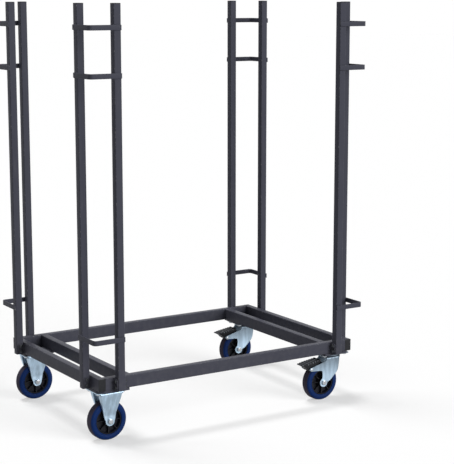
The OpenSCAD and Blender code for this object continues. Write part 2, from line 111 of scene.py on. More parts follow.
def colour(name, description, default):
    """A colour for a settings group."""
    return FloatVectorProperty(name=name, description=description, default=default, size=3,
                               min=0.0, max=1.0, subtype="COLOR")


class FrameSizes(bpy.types.PropertyGroup):
    """Sizes of the welded frame that its solids don't give."""

    tube_round: length("Tube corner", "Outside corner radius of posts and rails", 0.003)
    rail_wall: length("Rail wall", "Wall of the rails", 0.0025)
    post_wall: length("Post wall", "Wall of the posts", 0.002)
    cut_lip: length("Cut lip", "Rounding where a tube or bar was cut off", 0.0004)
    bar_t: length("Bar thickness", "Thickness of the bent guard bars", 0.004)
    bar_bend: length("Bar bend", "Inside radius of the guard bars' bend", 0.012)
    bar_round: length("Bar edge", "Rounding of the guard bars' long edges", 0.0009)
    lug_t: length("Lug thickness", "Thickness of the lugs beside each post foot", 0.004)
    lug_d: length("Lug depth", "How far the lugs stand out from the rail", 0.026)
    lug_h: length("Lug height", "Height of the lugs", 0.042)
    lug_cut: length("Lug corner", "Cut at the lugs' outer corners", 0.006)
    mount_cut: length("Mount corner", "Cut at the mount plates' outer corners", 0.025)
    plate_edge: length("Plate edge", "Rounding of the edges of cut plates", 0.0006)
    foot_bolt: length("Foot bolt", "Diameter of the bolts through the post feet", 0.008)
    foot_pitch: length("Foot bolt pitch", "Spacing of the two bolts in each foot", 0.022)
    foot_thread: length("Foot thread", "Thread pitch of the foot bolts", 0.00125)
    bead: length("Weld bead", "Radius of the weld beads", 0.0019)
    bead_pitch: length("Weld ripple", "Spacing of the ripples along a weld bead", 0.0016)


class CastorSizes(bpy.types.PropertyGroup):
    """Sizes of the castors that their solids don't give."""

    plate_bolt: length("Plate bolt", "Diameter of the castor plates' bolts", 0.010)
    pitch_l: length("Bolt pitch along", "Bolt spacing along a castor plate", 0.105)
    pitch_w: length("Bolt pitch across", "Bolt spacing across a castor plate", 0.075)
    plate_t: length("Plate thickness", "Thickness of the castor plates", 0.004)
    mount_lip: length("Mount lip", "How far the mounts reach past a castor plate", 0.005)
    plate_round: length("Plate corner", "Corner radius of the castor plates", 0.008)
    sheet: length("Fork sheet", "Thickness of the pressed forks", 0.004)
    sheet_edge: length("Sheet edge", "Rounding of the edges of forks and plates", 0.0007)
    fork_w: length("Fork width", "Width of a fork over both legs", 0.064)
    fork_bend: length("Fork bend", "Radius of the bend between a fork's top and its legs", 0.009)
    fork_fold: length("Fork fold", "Radius where a fork's edges are folded in", 0.006)
    leg_top: length("Leg top", "Width of a fixed fork's leg under its flare", 0.086)
    flare_w: length("Flare width", "Width of a fixed fork's leg at the plate", 0.114)
    flare_h: length("Flare height", "Height in which the leg widens to the plate", 0.024)
    splay: length("Splay", "How far a fixed fork's legs lean out at the plate", 0.022)
    splay_up: length("Splay start", "Height above the axle where the lean starts", 0.026)
    fold_in: length("Fold end", "From the wheel's middle to the end of a fixed fork's folds", 0.026)
    eye: length("Fork eye", "Radius of the fork's end around the axle", 0.019)
    axle: length("Axle", "Diameter of the axle bolts", 0.012)
    axle_z: length("Axle height", "Height of the axles above the floor", 0.08)
    trail: length("Trail", "From the swivel axis back to the axle", 0.052)
    race_r: length("Race", "Radius of the upper ball race", 0.040)
    race_bore: length("Race bore", "Radius of the hole in the upper ball race", 0.012)
    front_fold: length("Front fold", "Radius of the fold at a swivel fork's front edge", 0.012)
    crown_top: length("Crown", "Height of the top of the swivel fork", 0.1906)
    rim_r: length("Rim", "Radius where the tyre sits on the hub", 0.056)
    rim_h: length("Rim height", "How far the hub's rim stands above its web", 0.015)
    shoulder: length("Tyre shoulder", "Radius of the tyre's shoulders", 0.013)
    groove: length("Tyre groove", "Depth of the groove in the tyre's flanks", 0.0009)
    barrel_r: length("Hub barrel", "Radius of the hub's barrel", 0.020)
    bush_r: length("Bush", "Outside radius of the bush", 0.010)
    web: length("Hub web", "Half the thickness of the hub's web", 0.005)
    rib_t: length("Hub rib", "Thickness of the hub's ribs", 0.004)
    rib_h: length("Hub rib height", "Height of the ribs' ends above the hub's middle", 0.0172)
    rib_sag: length("Hub rib sag", "How far the ribs sink halfway", 0.0022)
    rib_n: IntProperty(name="Hub ribs", description="Ribs on each side of the hub",
                       default=8, min=3)
    pin: length("Pedal pin", "Diameter of the brake pedal's pin", 0.008)
    pin_u: length("Pin reach", "From the swivel axis back to the pedal's pin", 0.11604)
    pin_z: length("Pin height", "Height of the pedal's pin", 0.14494)
    arm_r: length("Brake arm end", "Radius of the brake arms' ends", 0.008)
    ridge_n: IntProperty(name="Pedal ridges", description="Grip ridges across the pedal",
                         default=8, min=1)
    ridge_h: length("Pedal ridge", "Height of the pedal's grip ridges", 0.0014)
    boss_r: length("Pedal boss", "Radius of the pedal's boss about its pin", 0.008)
    cam_h: length("Pedal cam", "How far the cam stands out of the boss", 0.003)


class Colours(bpy.types.PropertyGroup):
    """Colours of the finishes."""

    paint: colour("Powder coat", "Anthracite coat of the frame", srgb(68, 69, 79))
    primer: colour("Chipped edge", "What shows where the coat is worn", srgb(150, 150, 150))
    zinc: colour("Zinc sheet", "Blue bright zinc on forks and plates", srgb(174, 196, 214))
    # painted shade: a dark grey laid over the zinc round the swivel heads, where the frame shades
    # them
    painted_shade: colour("Painted_shade", "Dark grease round the swivel heads", srgb(58, 61, 66))
    bolt: colour("Bolt zinc", "Bright zinc on bolts, nuts and pins", srgb(176, 180, 184))
    oxide: colour("Bolt black", "Dark oxide on the bolts of the post feet", srgb(52, 54, 58))
    rubber: colour("Tyre blue", "Blue rubber of the tyres", srgb(2, 36, 88))
    tread: colour("Worn tread", "Greyed rubber of the rolling surface", srgb(71, 62, 63))
    plastic: colour("Hub black", "Black plastic of the hubs", srgb(20, 21, 29))
    plug: colour("Plug black", "Black plastic of the tube plugs", srgb(30, 31, 34))
    pedal: colour("Pedal black", "Black coat of the brake pedals", srgb(28, 29, 32))
    ridge: colour("Pedal ridge", "Worn metal on the pedal's ridges", srgb(116, 119, 126))
    steel: colour("Bare steel", "Turned steel of bushes and balls", srgb(190, 190, 190))
    floor: colour("Floor", "Pale studio floor, as it lights the trolley", (0.45, 0.45, 0.45))
    paper: colour("Paper", "The floor as it is seen", (0.90, 0.90, 0.90))


class Value:
    """A socket of a node tree. Arithmetic on it adds Math nodes."""

    def __init__(self, tree, socket):
        self.tree, self.socket = tree, socket

    def maths(self, operation, *terms):
        node = self.tree.nodes.new("ShaderNodeMath")
        node.operation = operation
        for slot, term in zip(node.inputs, terms):
            feed(self.tree, slot, term)
        return Value(self.tree, node.outputs[0])

    def __add__(self, other):
        return self.maths("ADD", self, other)

    def __radd__(self, other):
        return self.maths("ADD", other, self)

    def __sub__(self, other):
        return self.maths("SUBTRACT", self, other)

    def __rsub__(self, other):
        return self.maths("SUBTRACT", other, self)

    def __mul__(self, other):
        return self.maths("MULTIPLY", self, other)

    def __rmul__(self, other):
        return self.maths("MULTIPLY", other, self)


def feed(tree, socket, value):
    """Links a Value to a socket, or sets the socket to a plain number, colour or vector."""
    if isinstance(value, Value):
        tree.links.new(value.socket, socket)
    elif hasattr(socket.default_value, "__len__") and len(socket.default_value) == 4:
        socket.default_value = tuple(value)[:3] + (1.0,)
    else:
        socket.default_value = value


class Finish:
    """A material with one Principled shader, and the nodes that vary it over a surface."""

    def __init__(self, name, **constants):
        self.material = bpy.data.materials.new(name)
        self.material.use_nodes = True
        self.tree = self.material.node_tree
        self.shader = self.tree.nodes["Principled BSDF"]
        self.dress(**constants)
        self.place = self.node("ShaderNodeTexCoord", {}, {}, 3)

    def node(self, kind, settings, sockets, output=0):
        """Adds a node: its settings first, then the values or links of its sockets."""
        node = self.tree.nodes.new(kind)
        for key, value in settings.items():
            setattr(node, key, value)
        for key, value in sockets.items():
            feed(self.tree, node.inputs[key], value)
        return Value(self.tree, node.outputs[output])

    def noise(self, scale, detail=3.0, roughness=0.55, stretch=None):
        """Noise in the piece's own space, scale in features a metre, stretched if asked."""
        place = self.place
        if stretch:
            place = self.node("ShaderNodeMapping", {}, {"Vector": place, "Scale": stretch})
        return self.node("ShaderNodeTexNoise", {}, {"Vector": place, "Scale": scale,
                         "Detail": detail, "Roughness": roughness})

    def rise(self, value, low, high):
        """Goes smoothly from 0 to 1 as a value goes from low to high."""
        return self.node("ShaderNodeMapRange", {"interpolation_type": "SMOOTHSTEP"},
                         {"Value": value, "From Min": low, "From Max": high})

    def mix(self, share, first, second):
        """Colour that goes from first to second as share goes from 0 to 1."""
        return self.node("ShaderNodeMix", {"data_type": "RGBA"},
                         {0: share, 6: first, 7: second}, 2)

    def trait(self, name):
        """A value that the piece's mesh holds at each point."""
        return self.node("ShaderNodeAttribute", {"attribute_name": name}, {}, 2)

    def along(self, axis):
        """Position of a point along one of the three axes, the third being its height."""
        return self.node("ShaderNodeSeparateXYZ", {}, {"Vector": self.place}, axis)

    def bump(self, height, strength, distance):
        """Makes a height pattern stand out of the surface."""
        return self.node("ShaderNodeBump", {}, {"Strength": strength, "Distance": distance,
                         "Height": height})

    def dress(self, **sockets):
        """Feeds the shader's sockets and returns the material."""
        named = {socket.name.lower().replace(" ", "_"): socket for socket in self.shader.inputs}
        for key, value in sockets.items():
            feed(self.tree, named[key], value)
        return self.material


def shade(colour_value, factor):
    """A colour made lighter or darker by a factor."""
    return tuple(min(1.0, c * factor) for c in colour_value)


def powder_coat(c):
    """Satin anthracite coat: fine peel, cloudy tone, scuffs, dust low down, worn edges."""
    f = Finish("powder_coat", specular_ior_level=0.04)
    peel = f.noise(1300.0, 2.0)
    cloud = f.noise(7.0, 3.0)
    scratch = f.rise(f.noise(60.0, 4.0, 0.6, (1.0, 1.0, 0.12)), 0.60, 0.72)
    rub = f.rise(f.noise(26.0, 5.0, 0.65), 0.56, 0.72)
    dust = f.rise(f.along(2), 0.42, 0.20) * f.rise(f.noise(45.0, 4.0), 0.35, 0.75)
    chip = f.rise(f.trait("wear") * 0.34 + f.noise(170.0, 5.0, 0.7), 0.86, 0.94)
    tone = f.mix(cloud, shade(c.paint, 0.88), shade(c.paint, 1.12))
    tone = f.mix(scratch * 0.07, tone, shade(c.primer, 0.7))
    tone = f.mix(dust * 0.05, tone, srgb(150, 146, 140))
    tone = f.mix(chip * 0.55, tone, c.primer)
    return f.dress(base_color=tone, roughness=0.36 + rub * 0.10 + scratch * 0.12 + chip * 0.1,
                   normal=f.bump(peel + rub * 0.3 - chip * 0.8, 0.10, 0.0003))


def zinc_sheet(c):
    """Blue bright zinc on pressed sheet: upright streaks that are partly painted sheen, soft
    clouds, drawing lines and a few dull spots, with painted shade round the swivel heads."""
    f = Finish("zinc_sheet", metallic=1.0)
    cloud = f.noise(38.0, 4.0, 0.6)
    # painted sheen: upright bands that are partly real rolling streaks and partly painted sheen
    streak_and_sheen = f.rise(f.noise(46.0, 3.0, 0.6, (1.0, 1.0, 0.12)), 0.38, 0.62)
    line = f.noise(420.0, 3.0, 0.6, (1.0, 1.0, 0.06))
    spot = f.rise(f.noise(300.0, 4.0, 0.7), 0.66, 0.76)
    # painted shade: rises to 1 high up on the right-hand swivel castors, round their heads under
    # the frame
    head = f.rise(f.along(0), 0.2, 0.3) * f.rise(f.along(2), 0.08, 0.20)
    # painted sheen: the streaks swing the zinc between a darker and a lighter copy of its colour
    tone = f.mix(streak_and_sheen * 0.65 + cloud * 0.35, shade(c.zinc, 0.66), shade(c.zinc, 1.12))
    tone = f.mix(spot * 0.35, tone, srgb(228, 228, 224))
    # painted shade: the zinc turns dark grey round the swivel heads
    tone = f.mix(head * (0.45 + cloud * 0.6), tone, c.painted_shade)
    return f.dress(base_color=tone, roughness=0.30 + cloud * 0.14 + spot * 0.2 + line * 0.08,
                   normal=f.bump(line + cloud, 0.12, 0.0003))


def bolt_zinc(c):
    """Bright zinc on bolts: turned marks and slightly dulled patches."""
    f = Finish("bolt_zinc", metallic=1.0)
    patch = f.noise(240.0, 4.0, 0.65)
    mark = f.noise(1500.0, 2.0)
    tone = f.mix(patch, shade(c.bolt, 0.78), shade(c.bolt, 1.05))
    return f.dress(base_color=tone, roughness=0.22 + patch * 0.2,
                   normal=f.bump(mark + patch, 0.10, 0.0002))


def bolt_black(c):
    """Blackened bolts: dark oxide with a dull sheen, rubbed bright in patches."""
    f = Finish("bolt_black", metallic=0.6)
    patch = f.noise(320.0, 4.0, 0.65)
    rub = f.rise(f.noise(700.0, 4.0, 0.7), 0.58, 0.74)
    tone = f.mix(patch, shade(c.oxide, 0.7), shade(c.oxide, 1.4))
    tone = f.mix(rub * 0.4, tone, c.bolt)
    return f.dress(base_color=tone, roughness=0.34 + patch * 0.18,
                   normal=f.bump(patch + rub * 0.4, 0.10, 0.0002))


def tyre_rubber(c):
    """Blue rubber: bright flanks, greyed rolling surface, fine grain, dust in the low spots."""
    f = Finish("tyre_rubber", specular_ior_level=0.12)
    grain = f.noise(1800.0, 2.0)
    smudge = f.noise(55.0, 5.0, 0.65)
    scuff = f.rise(f.noise(240.0, 5.0, 0.7), 0.55, 0.72)
    tread = f.trait("tread")
    tone = f.mix(smudge, shade(c.rubber, 0.72), shade(c.rubber, 1.22))
    tone = f.mix(tread * (0.72 + scuff * 0.28), tone, c.tread)
    tone = f.mix(scuff * 0.04, tone, srgb(150, 150, 152))
    return f.dress(base_color=tone, roughness=0.46 + smudge * 0.12 + tread * 0.25,
                   normal=f.bump(grain + scuff * 0.6, 0.16, 0.0003))


def moulded_plastic(name, tint, gloss):
    """Moulded plastic: fine spark-eroded texture, faint flow clouds and pale dust."""
    f = Finish(name, specular_ior_level=0.16)
    texture = f.noise(2200.0, 2.0)
    flow = f.noise(30.0, 4.0, 0.6)
    dust = f.rise(f.noise(120.0, 5.0, 0.7), 0.58, 0.80)
    tone = f.mix(flow, shade(tint, 0.75), shade(tint, 1.35))
    tone = f.mix(dust * 0.10, tone, srgb(150, 148, 144))
    return f.dress(base_color=tone, roughness=gloss + flow * 0.10 + dust * 0.15,
                   normal=f.bump(texture + dust * 0.4, 0.14, 0.0002))


def pedal_coat(c):
    """Black coated casting: sand-cast grain, coat worn to the metal on the ridges and edges."""
    f = Finish("pedal_coat", specular_ior_level=0.12)
    grain = f.noise(900.0, 4.0, 0.65)
    patch = f.noise(130.0, 5.0, 0.7)
    bare = f.rise(f.trait("wear") * 0.50 + patch * 0.75, 0.68, 0.96)
    tone = f.mix(patch, shade(c.pedal, 0.7), shade(c.pedal, 1.5))
    tone = f.mix(bare, tone, c.ridge)
    return f.dress(base_color=tone, metallic=bare * 0.8,
                   roughness=0.42 + grain * 0.15 - bare * 0.1,
                   normal=f.bump(grain, 0.22, 0.0004))


def bare_steel(c):
    """Turned and ground steel: fine rings and a thin oily cloud."""
    f = Finish("bare_steel", metallic=1.0)
    cloud = f.noise(90.0, 3.0)
    ring = f.noise(2400.0, 2.0)
    tone = f.mix(cloud, shade(c.steel, 0.7), c.steel)
    return f.dress(base_color=tone, roughness=0.18 + cloud * 0.2,
                   normal=f.bump(ring, 0.06, 0.0001))


# Each finish takes the settings' colours
FINISHES = {
    "frame_paint": powder_coat,
    "plug_plastic": lambda c: moulded_plastic("plug_plastic", c.plug, 0.42),
    "zinc_sheet": zinc_sheet,
    "bolt_zinc": bolt_zinc,
    "bolt_black": bolt_black,
    "blue_rubber": tyre_rubber,
    "hub_plastic": lambda c: moulded_plastic("hub_plastic", c.plastic, 0.34),
    "pedal_black": pedal_coat,
    "bush_steel": bare_steel,
    "ball_steel": bare_steel,
}
MADE = {}


def finish(slot):
    """The material of a slot, made when it is first asked for."""
    if slot not in MADE:
        MADE[slot] = FINISHES[slot](bpy.context.scene.trolley_colours)
    return MADE[slot]


class Shell:
    """Grids of points gathered as one mesh, with values that its finish reads at each point."""

    def __init__(self):
        self.points, self.quads, self.ends, self.traits, self.count = [], [], [], [], 0

    def grid(self, points, trait=0.0, loop_rows=False, loop_cols=True, ends=False):
        """Adds a grid: rows by columns of points, closed either way round if asked, its first
        and last row filled if ends is set. trait is the value at each point."""
        rows, cols = points.shape[:2]
        index = np.arange(rows * cols).reshape(rows, cols) + self.count
        wrapped = np.vstack([index, index[:1]]) if loop_rows else index
        wrapped = np.hstack([wrapped, wrapped[:, :1]]) if loop_cols else wrapped
        self.quads.append(np.stack([wrapped[:-1, :-1], wrapped[:-1, 1:],
                                    wrapped[1:, 1:], wrapped[1:, :-1]], -1).reshape(-1, 4))
        if ends:
            self.ends += [index[0][::-1], index[-1]]
        self.points.append(points.reshape(-1, 3))
        self.traits.append(np.broadcast_to(trait, (rows, cols)).ravel())
        self.count += rows * cols

    def build(self, name, body, slot, *nodes, trait="wear", sharp=35.0, closed=True):
        """Makes the object, gives it its finish and puts it on a body in place of frame nodes."""
        mesh = bpy.data.meshes.new(name)
        points, quads = np.concatenate(self.points), np.concatenate(self.quads)
        corners = np.concatenate([quads.ravel()] + self.ends)
        sizes = np.concatenate([np.full(len(quads), 4), [len(e) for e in self.ends]]).astype(int)
        mesh.vertices.add(len(points))
        mesh.vertices.foreach_set("co", points.astype(np.float32).ravel())
        mesh.loops.add(len(corners))
        mesh.loops.foreach_set("vertex_index", corners.astype(np.int32))
        mesh.polygons.add(len(sizes))
        mesh.polygons.foreach_set("loop_start", (np.cumsum(sizes) - sizes).astype(np.int32))
        mesh.update(calc_edges=True)
        layer = mesh.attributes.new(trait, "FLOAT", "POINT")
        layer.data.foreach_set("value", np.concatenate(self.traits).astype(np.float32))
        if closed:
            work = bmesh.new()
            work.from_mesh(mesh)
            bmesh.ops.recalc_face_normals(work, faces=work.faces)
            work.to_mesh(mesh)
            work.free()
        mesh.shade_smooth()
        mesh.set_sharp_from_angle(angle=math.radians(sharp))
        mesh.materials.append(finish(slot))
        piece = bpy.data.objects.new(name, mesh)
        bpy.context.scene.collection.objects.link(piece)
        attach(piece, body)
        if nodes:
            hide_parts(*nodes)
        return piece


def bevel(piece, width):
    """Rounds the hard edges of a piece."""
    modifier = piece.modifiers.new("edge", "BEVEL")
    modifier.width = width
    modifier.segments = 2
    modifier.limit_method = "ANGLE"
    modifier.angle_limit = math.radians(40)
    return piece


def thicken(piece, thickness):
    """Gives a sheet its thickness, half to each side."""
    modifier = piece.modifiers.new("sheet", "SOLIDIFY")
    modifier.thickness = thickness
    modifier.offset = 0.0
    return piece


def smooth(value):
    """Smooth step: 0 below 0, 1 above 1, with a flat start and finish."""
    t = np.clip(value, 0.0, 1.0)
    return t * t * (3 - 2 * t)


def circle(steps):
    """Angles of evenly spaced points round a circle."""
    return np.linspace(0, 2 * np.pi, steps, endpoint=False)


def quarter(steps):
    """Angles from nothing to a quarter turn."""
    return np.linspace(0, np.pi / 2, steps)


def around(radius, turn, along):
    """Points about the third direction: radius and angle give the first two coordinates, and
    each row has one place along the third."""
    along = np.broadcast_to(along, np.broadcast_shapes(np.shape(radius), np.shape(turn)))
    return np.dstack([radius * np.cos(turn), radius * np.sin(turn), along])


def axis_last(points, axis):
    """Turns local points so that their third direction runs along axis 0, 1 or 2."""
    return np.roll(points, axis + 1, axis=-1)


def rounded_outline(width, height, radius, steps=7):
    """Points round a rectangle with round corners: each corner is a quarter circle about its
    own centre. Also how far each point is into its bend, from 0 at the ends to 1 halfway."""
    t = np.linspace(0, 1, steps)
    turn = (np.arange(4)[:, None] + t) * np.pi / 2
    signs = np.array([[1, 1], [-1, 1], [-1, -1], [1, -1]])
    centre = signs * np.array([width / 2 - radius, height / 2 - radius])
    points = centre[:, None] + radius * np.stack([np.cos(turn), np.sin(turn)], -1)
    return points.reshape(-1, 2), np.tile(np.sin(np.pi * t), 4)


def box_tube(shell, low, high, axis, wall, radius, lip):
    """A box-section tube that fills a box along one axis. The walls are one closed loop of
    rounded outlines: out along the outside, in over a small lip, and back along the inside."""
    others = [(axis + 1) % 3, (axis + 2) % 3]
    width, height = (high - low)[others]
    middle = ((low + high) / 2)[others]
    inset = np.array([lip, 0, 0, lip, wall, wall])
    along = np.array([low[axis], low[axis] + lip, high[axis] - lip, high[axis],
                      high[axis], low[axis]])
    rings, bends = zip(*[rounded_outline(width - 2 * i, height - 2 * i, max(radius - i, 0.0005))
                         for i in inset])
    flat = np.stack(rings) + middle
    points = np.dstack([flat, np.repeat(along[:, None], flat.shape[1], 1)])
    wear = np.stack(bends) * (inset < wall)[:, None]
    wear[[0, 3]] = 1.0
    shell.grid(axis_last(points, axis), wear, loop_rows=True)


def prism(shell, outline, low, high, axis):
    """A plate: one outline of points carried from low to high along an axis."""
    flat = np.stack([outline, outline])
    along = np.repeat(np.array([[low], [high]]), len(outline), 1)
    shell.grid(axis_last(np.dstack([flat, along]), axis), ends=True)


def lathe(shell, profile, steps, centre, axis, trait=0.0, ends=False, loop=True):
    """A turned surface: a profile of (radius, place along the axis) carried round a circle."""
    points = around(profile[:, :1], circle(steps), profile[:, 1:])
    trait = np.broadcast_to(np.asarray(trait).reshape(-1, 1) if np.ndim(trait) else trait,
                            (len(profile), steps))
    shell.grid(axis_last(points, axis) + centre, trait, loop_rows=loop, ends=ends)


def place(points, origin, axis, way):
    """Puts a local shape at an origin, with its third direction along axis, forward or back."""
    turned = axis_last(points, axis)
    turned[..., axis] *= way
    return turned + origin


def hexagon(shell, across, height, origin, axis, way, both=False):
    """Hexagon head or nut. Its radius is the least of the hexagon's own, which is half the
    width across flats over the cosine of the angle from the nearest flat, and a cone that
    takes the corners off at the outer end, or at both."""
    turn = circle(72)
    flat = across / 2 / np.cos((turn + np.pi / 6) % (np.pi / 3) - np.pi / 6)
    level = np.array([0, 0.04, 0.08, 0.13, 0.2, 0.8, 0.87, 0.92, 0.96, 1.0]) * height
    tip, slope = across * 0.47, 1.73
    cone = tip + (height - level) * slope
    if both:
        cone = np.minimum(cone, tip + level * slope)
    radius = np.minimum(flat, cone[:, None])
    radius = np.vstack([radius, radius[-1:] * 0.7])
    level = np.append(level, height)[:, None]
    shell.grid(place(around(radius, turn, level), origin, axis, way), ends=True)


def thread(shell, radius, pitch, start, stop, origin, axis, way):
    """Threaded shank: its radius falls and rises once a pitch along the axis, and the pattern
    moves on by one pitch in a turn; the far end is rounded off."""
    turn = circle(32)
    along = np.linspace(start, stop, max(6, int(abs(stop - start) / pitch * 8)))[:, None]
    wave = np.abs((along / pitch - turn / (2 * np.pi)) % 1 - 0.5) * 2
    end = smooth((stop - along) / (pitch * 1.2))
    reach = (radius - pitch * 0.45 * wave) * (0.8 + 0.2 * end)
    shell.grid(place(around(reach, turn, along), origin, axis, way), ends=True)


def bolt_set(shell, diameter, grip, origin, axis, way, nut=True):
    """A hexagon bolt on one side of a grip and, if asked, its nut and threaded end on the
    other. Origin is the middle of the grip."""
    across, nut_h = diameter * HEX_ACROSS, diameter * NUT_H
    offset = np.zeros(3)
    offset[axis] = way * grip / 2
    hexagon(shell, across, diameter * HEAD_H, origin + offset, axis, way)
    if nut:
        hexagon(shell, across, nut_h, origin - offset, axis, -way, both=True)
        thread(shell, diameter / 2, diameter * THREAD, nut_h * 0.8, nut_h + BOLT_END,
               origin - offset, axis, -way)


def corner_cut(points, rounds=3):
    """Rounds the corners of an open line of points by cutting each corner at a quarter of its
    two sides, again and again. The ends stay."""
    for _ in range(rounds):
        a, b = points[:-1], points[1:]
        cut = np.stack([0.75 * a + 0.25 * b, 0.25 * a + 0.75 * b], 1).reshape(-1, 2)
        points = np.vstack([points[:1], cut[1:-1], points[-1:]])
    return points


def feet():
    """Where each post stands: a point on the rail's outer face at half its height, the direction
    out of the rail, the direction along it to the corner, and the post's width."""
    for node, (axis, signs) in POSTS.items():
        low, high = box(node)
        origin = (low + high) / 2
        origin[axis] = min(abs(low[axis]), abs(high[axis])) * signs[axis]
        origin[Z] = middle_of("front_rail")[Z]
        out, along = np.zeros(3), np.zeros(3)
        out[axis], along[1 - axis] = signs[axis], signs[1 - axis]
        yield origin, out, along, (high - low)[1 - axis]


class TROLLEY_OT_rails(bpy.types.Operator):
    """Rails: box-section tubes with round corners and worn edges"""

    bl_idname = "trolley.rails"
    bl_label = "Rails"

    def execute(self, context):
        s = context.scene.trolley_frame
        runs = {"front_rail": X, "back_rail": X, "left_rail": Y, "right_rail": Y,
                "left_cross_rail": Y, "right_cross_rail": Y}
        for node, axis in runs.items():
            shell = Shell()
            box_tube(shell, *box(node), axis, s.rail_wall, s.tube_round, s.cut_lip)
            shell.build(f"{node}_tube", "frame", "frame_paint", node)
        return {"FINISHED"}


class TROLLEY_OT_posts(bpy.types.Operator):
    """Posts: upright square tubes, two at each corner"""

    bl_idname = "trolley.posts"
    bl_label = "Posts"

    def execute(self, context):
        s = context.scene.trolley_frame
        for node in POSTS:
            shell = Shell()
            box_tube(shell, *box(node), Z, s.post_wall, s.tube_round, s.cut_lip)
            shell.build(f"{node}_tube", "frame", "frame_paint", node)
        return {"FINISHED"}


class TROLLEY_OT_guard_bars(bpy.types.Operator):
    """Guard bars: flat bar bent round the outside of each corner"""

    bl_idname = "trolley.guard_bars"
    bl_label = "Guard bars"

    def execute(self, context):
        s = context.scene.trolley_frame
        for (sx, sy), corner in zip(CORNERS, CASTORS):
            for level in LEVELS:
                node = f"{level}_bar_{corner}"
                shell = Shell()
                self.bent_bar(shell, *box(node), s, np.array([sx, sy, 1]))
                shell.build(f"{node}_bent", "frame", "frame_paint", node)
        return {"FINISHED"}

    @staticmethod
    def bent_bar(shell, low, high, s, signs):
        """A rounded bar section carried along two straight legs and the quarter circle that
        joins them; at each end the section shrinks a little over the width of the cut's lip."""
        reach = np.maximum(np.abs(low), np.abs(high))[:2]
        ends = np.minimum(np.abs(low), np.abs(high))[:2]
        centre = reach - s.bar_t - s.bar_bend
        turn = quarter(15)
        way = np.stack([np.cos(turn), np.sin(turn)], -1)
        arc = centre + (s.bar_bend + s.bar_t / 2) * way
        lip = s.cut_lip
        first = np.array([[arc[0, 0], ends[1]], [arc[0, 0], ends[1] + lip]])
        last = np.array([[ends[0] + lip, arc[-1, 1]], [ends[0], arc[-1, 1]]])
        path = np.vstack([first, arc, last])
        way = np.vstack([way[:1], way[:1], way, way[-1:], way[-1:]])
        section, bend = rounded_outline(s.bar_t, high[2] - low[2], s.bar_round, 5)
        shrink = np.ones((len(path), 1))
        shrink[[0, -1]] = 0.0
        inset = np.sign(section) * lip
        flat = section[None] - inset[None] * (1 - shrink)[..., None]
        xy = path[:, None] + way[:, None] * flat[..., :1]
        z = flat[..., 1:] + (low[2] + high[2]) / 2
        wear = np.maximum(bend[None], 1 - shrink)
        shell.grid(np.concatenate([xy, z], -1) * signs, wear, ends=True)


class TROLLEY_OT_plugs(bpy.types.Operator):
    """Plugs: softly domed black caps in the post tops and the short rails' ends"""

    bl_idname = "trolley.plugs"
    bl_label = "Tube plugs"

    def execute(self, context):
        s = context.scene.trolley_frame
        shell = Shell()
        top = box("post_caps")[1][Z]
        for node in POSTS:
            low, high = box(node)
            self.cap(shell, (high - low)[:2], (low + high)[:2] / 2, high[Z], top, Z, s)
        shell.build("post_caps_moulded", "frame", "plug_plastic", "post_caps")
        shell = Shell()
        reach = box("rail_caps")[1][Y]
        for end in ("left_rail", "right_rail"):
            low, high = box(end)
            size, middle = (high - low)[[Z, X]], (low + high)[[Z, X]] / 2
            for sy in SIDES:
                self.cap(shell, size, middle, sy * high[Y], sy * reach, Y, s)
        shell.build("rail_caps_moulded", "frame", "plug_plastic", "rail_caps")
        return {"FINISHED"}

    @staticmethod
    def cap(shell, size, middle, start, stop, axis, s):
        """Rounded outlines from the tube's end up to the cap's face: the rim turns over a
        quarter circle, then the face rises slightly to its middle."""
        rim, edge = 0.94, 0.45      # shares of the cap's height: its rim, and the rim's rounding
        flat, least = 0.35, 0.0008  # inset of the flat middle, as a share; least corner radius
        depth, turn = stop - start, quarter(6)
        inset = np.concatenate([[0.0], abs(depth) * edge * (1 - np.cos(turn)), [flat * size.min()]])
        along = np.concatenate([[0.0], rim * (1 - edge) + rim * edge * np.sin(turn), [1.0]])
        rings = [rounded_outline(*(size - 2 * i), max(s.tube_round - i * 0.6, least))[0]
                 for i in inset]
        face = np.stack(rings) + middle
        depthwise = np.repeat((start + depth * along)[:, None], face.shape[1], 1)
        shell.grid(axis_last(np.dstack([face, depthwise]), axis), ends=True)


class TROLLEY_OT_post_feet(bpy.types.Operator):
    """Post feet: lugs beside each post with bolts and nuts through them"""

    bl_idname = "trolley.post_feet"
    bl_label = "Post feet"

    def execute(self, context):
        s = context.scene.trolley_frame
        lugs, bolts, nuts = Shell(), Shell(), Shell()
        d, h, cut = s.lug_d, s.lug_h / 2, s.lug_cut
        outline = np.array([[0, -h], [d - cut, -h], [d, cut - h], [d, h - cut], [d - cut, h],
                            [0, h]])
        for origin, out, along, width in feet():
            for way in SIDES:
                near = np.array([[way * width / 2], [way * (width / 2 + s.lug_t)]])
                flat = (out * outline[:, :1] + UP * outline[:, 1:])[None]
                lugs.grid(origin + flat + along * near[..., None], ends=True)
            axis = int(np.argmax(np.abs(along)))
            for up in SIDES:
                middle = origin + out * width / 2 + UP * (up * s.foot_pitch / 2)
                bolt_set(bolts, s.foot_bolt, width + 2 * s.lug_t, middle, axis, along[axis],
                         nut=False)
                back = middle - along * (width / 2 + s.lug_t)
                nut_h = s.foot_bolt * NUT_H
                hexagon(nuts, s.foot_bolt * HEX_ACROSS, nut_h, back, axis, -along[axis], both=True)
                thread(bolts, s.foot_bolt / 2, s.foot_thread, s.foot_bolt / 2, nut_h + BOLT_END,
                       back, axis, -along[axis])
        bevel(lugs.build("post_lugs_cut", "frame", "frame_paint", "post_lugs"), s.plate_edge)
        bolts.build("foot_bolts_hex", "frame", "bolt_black", "foot_bolts")
        nuts.build("foot_nuts_hex", "frame", "bolt_black", "foot_nuts")
        return {"FINISHED"}


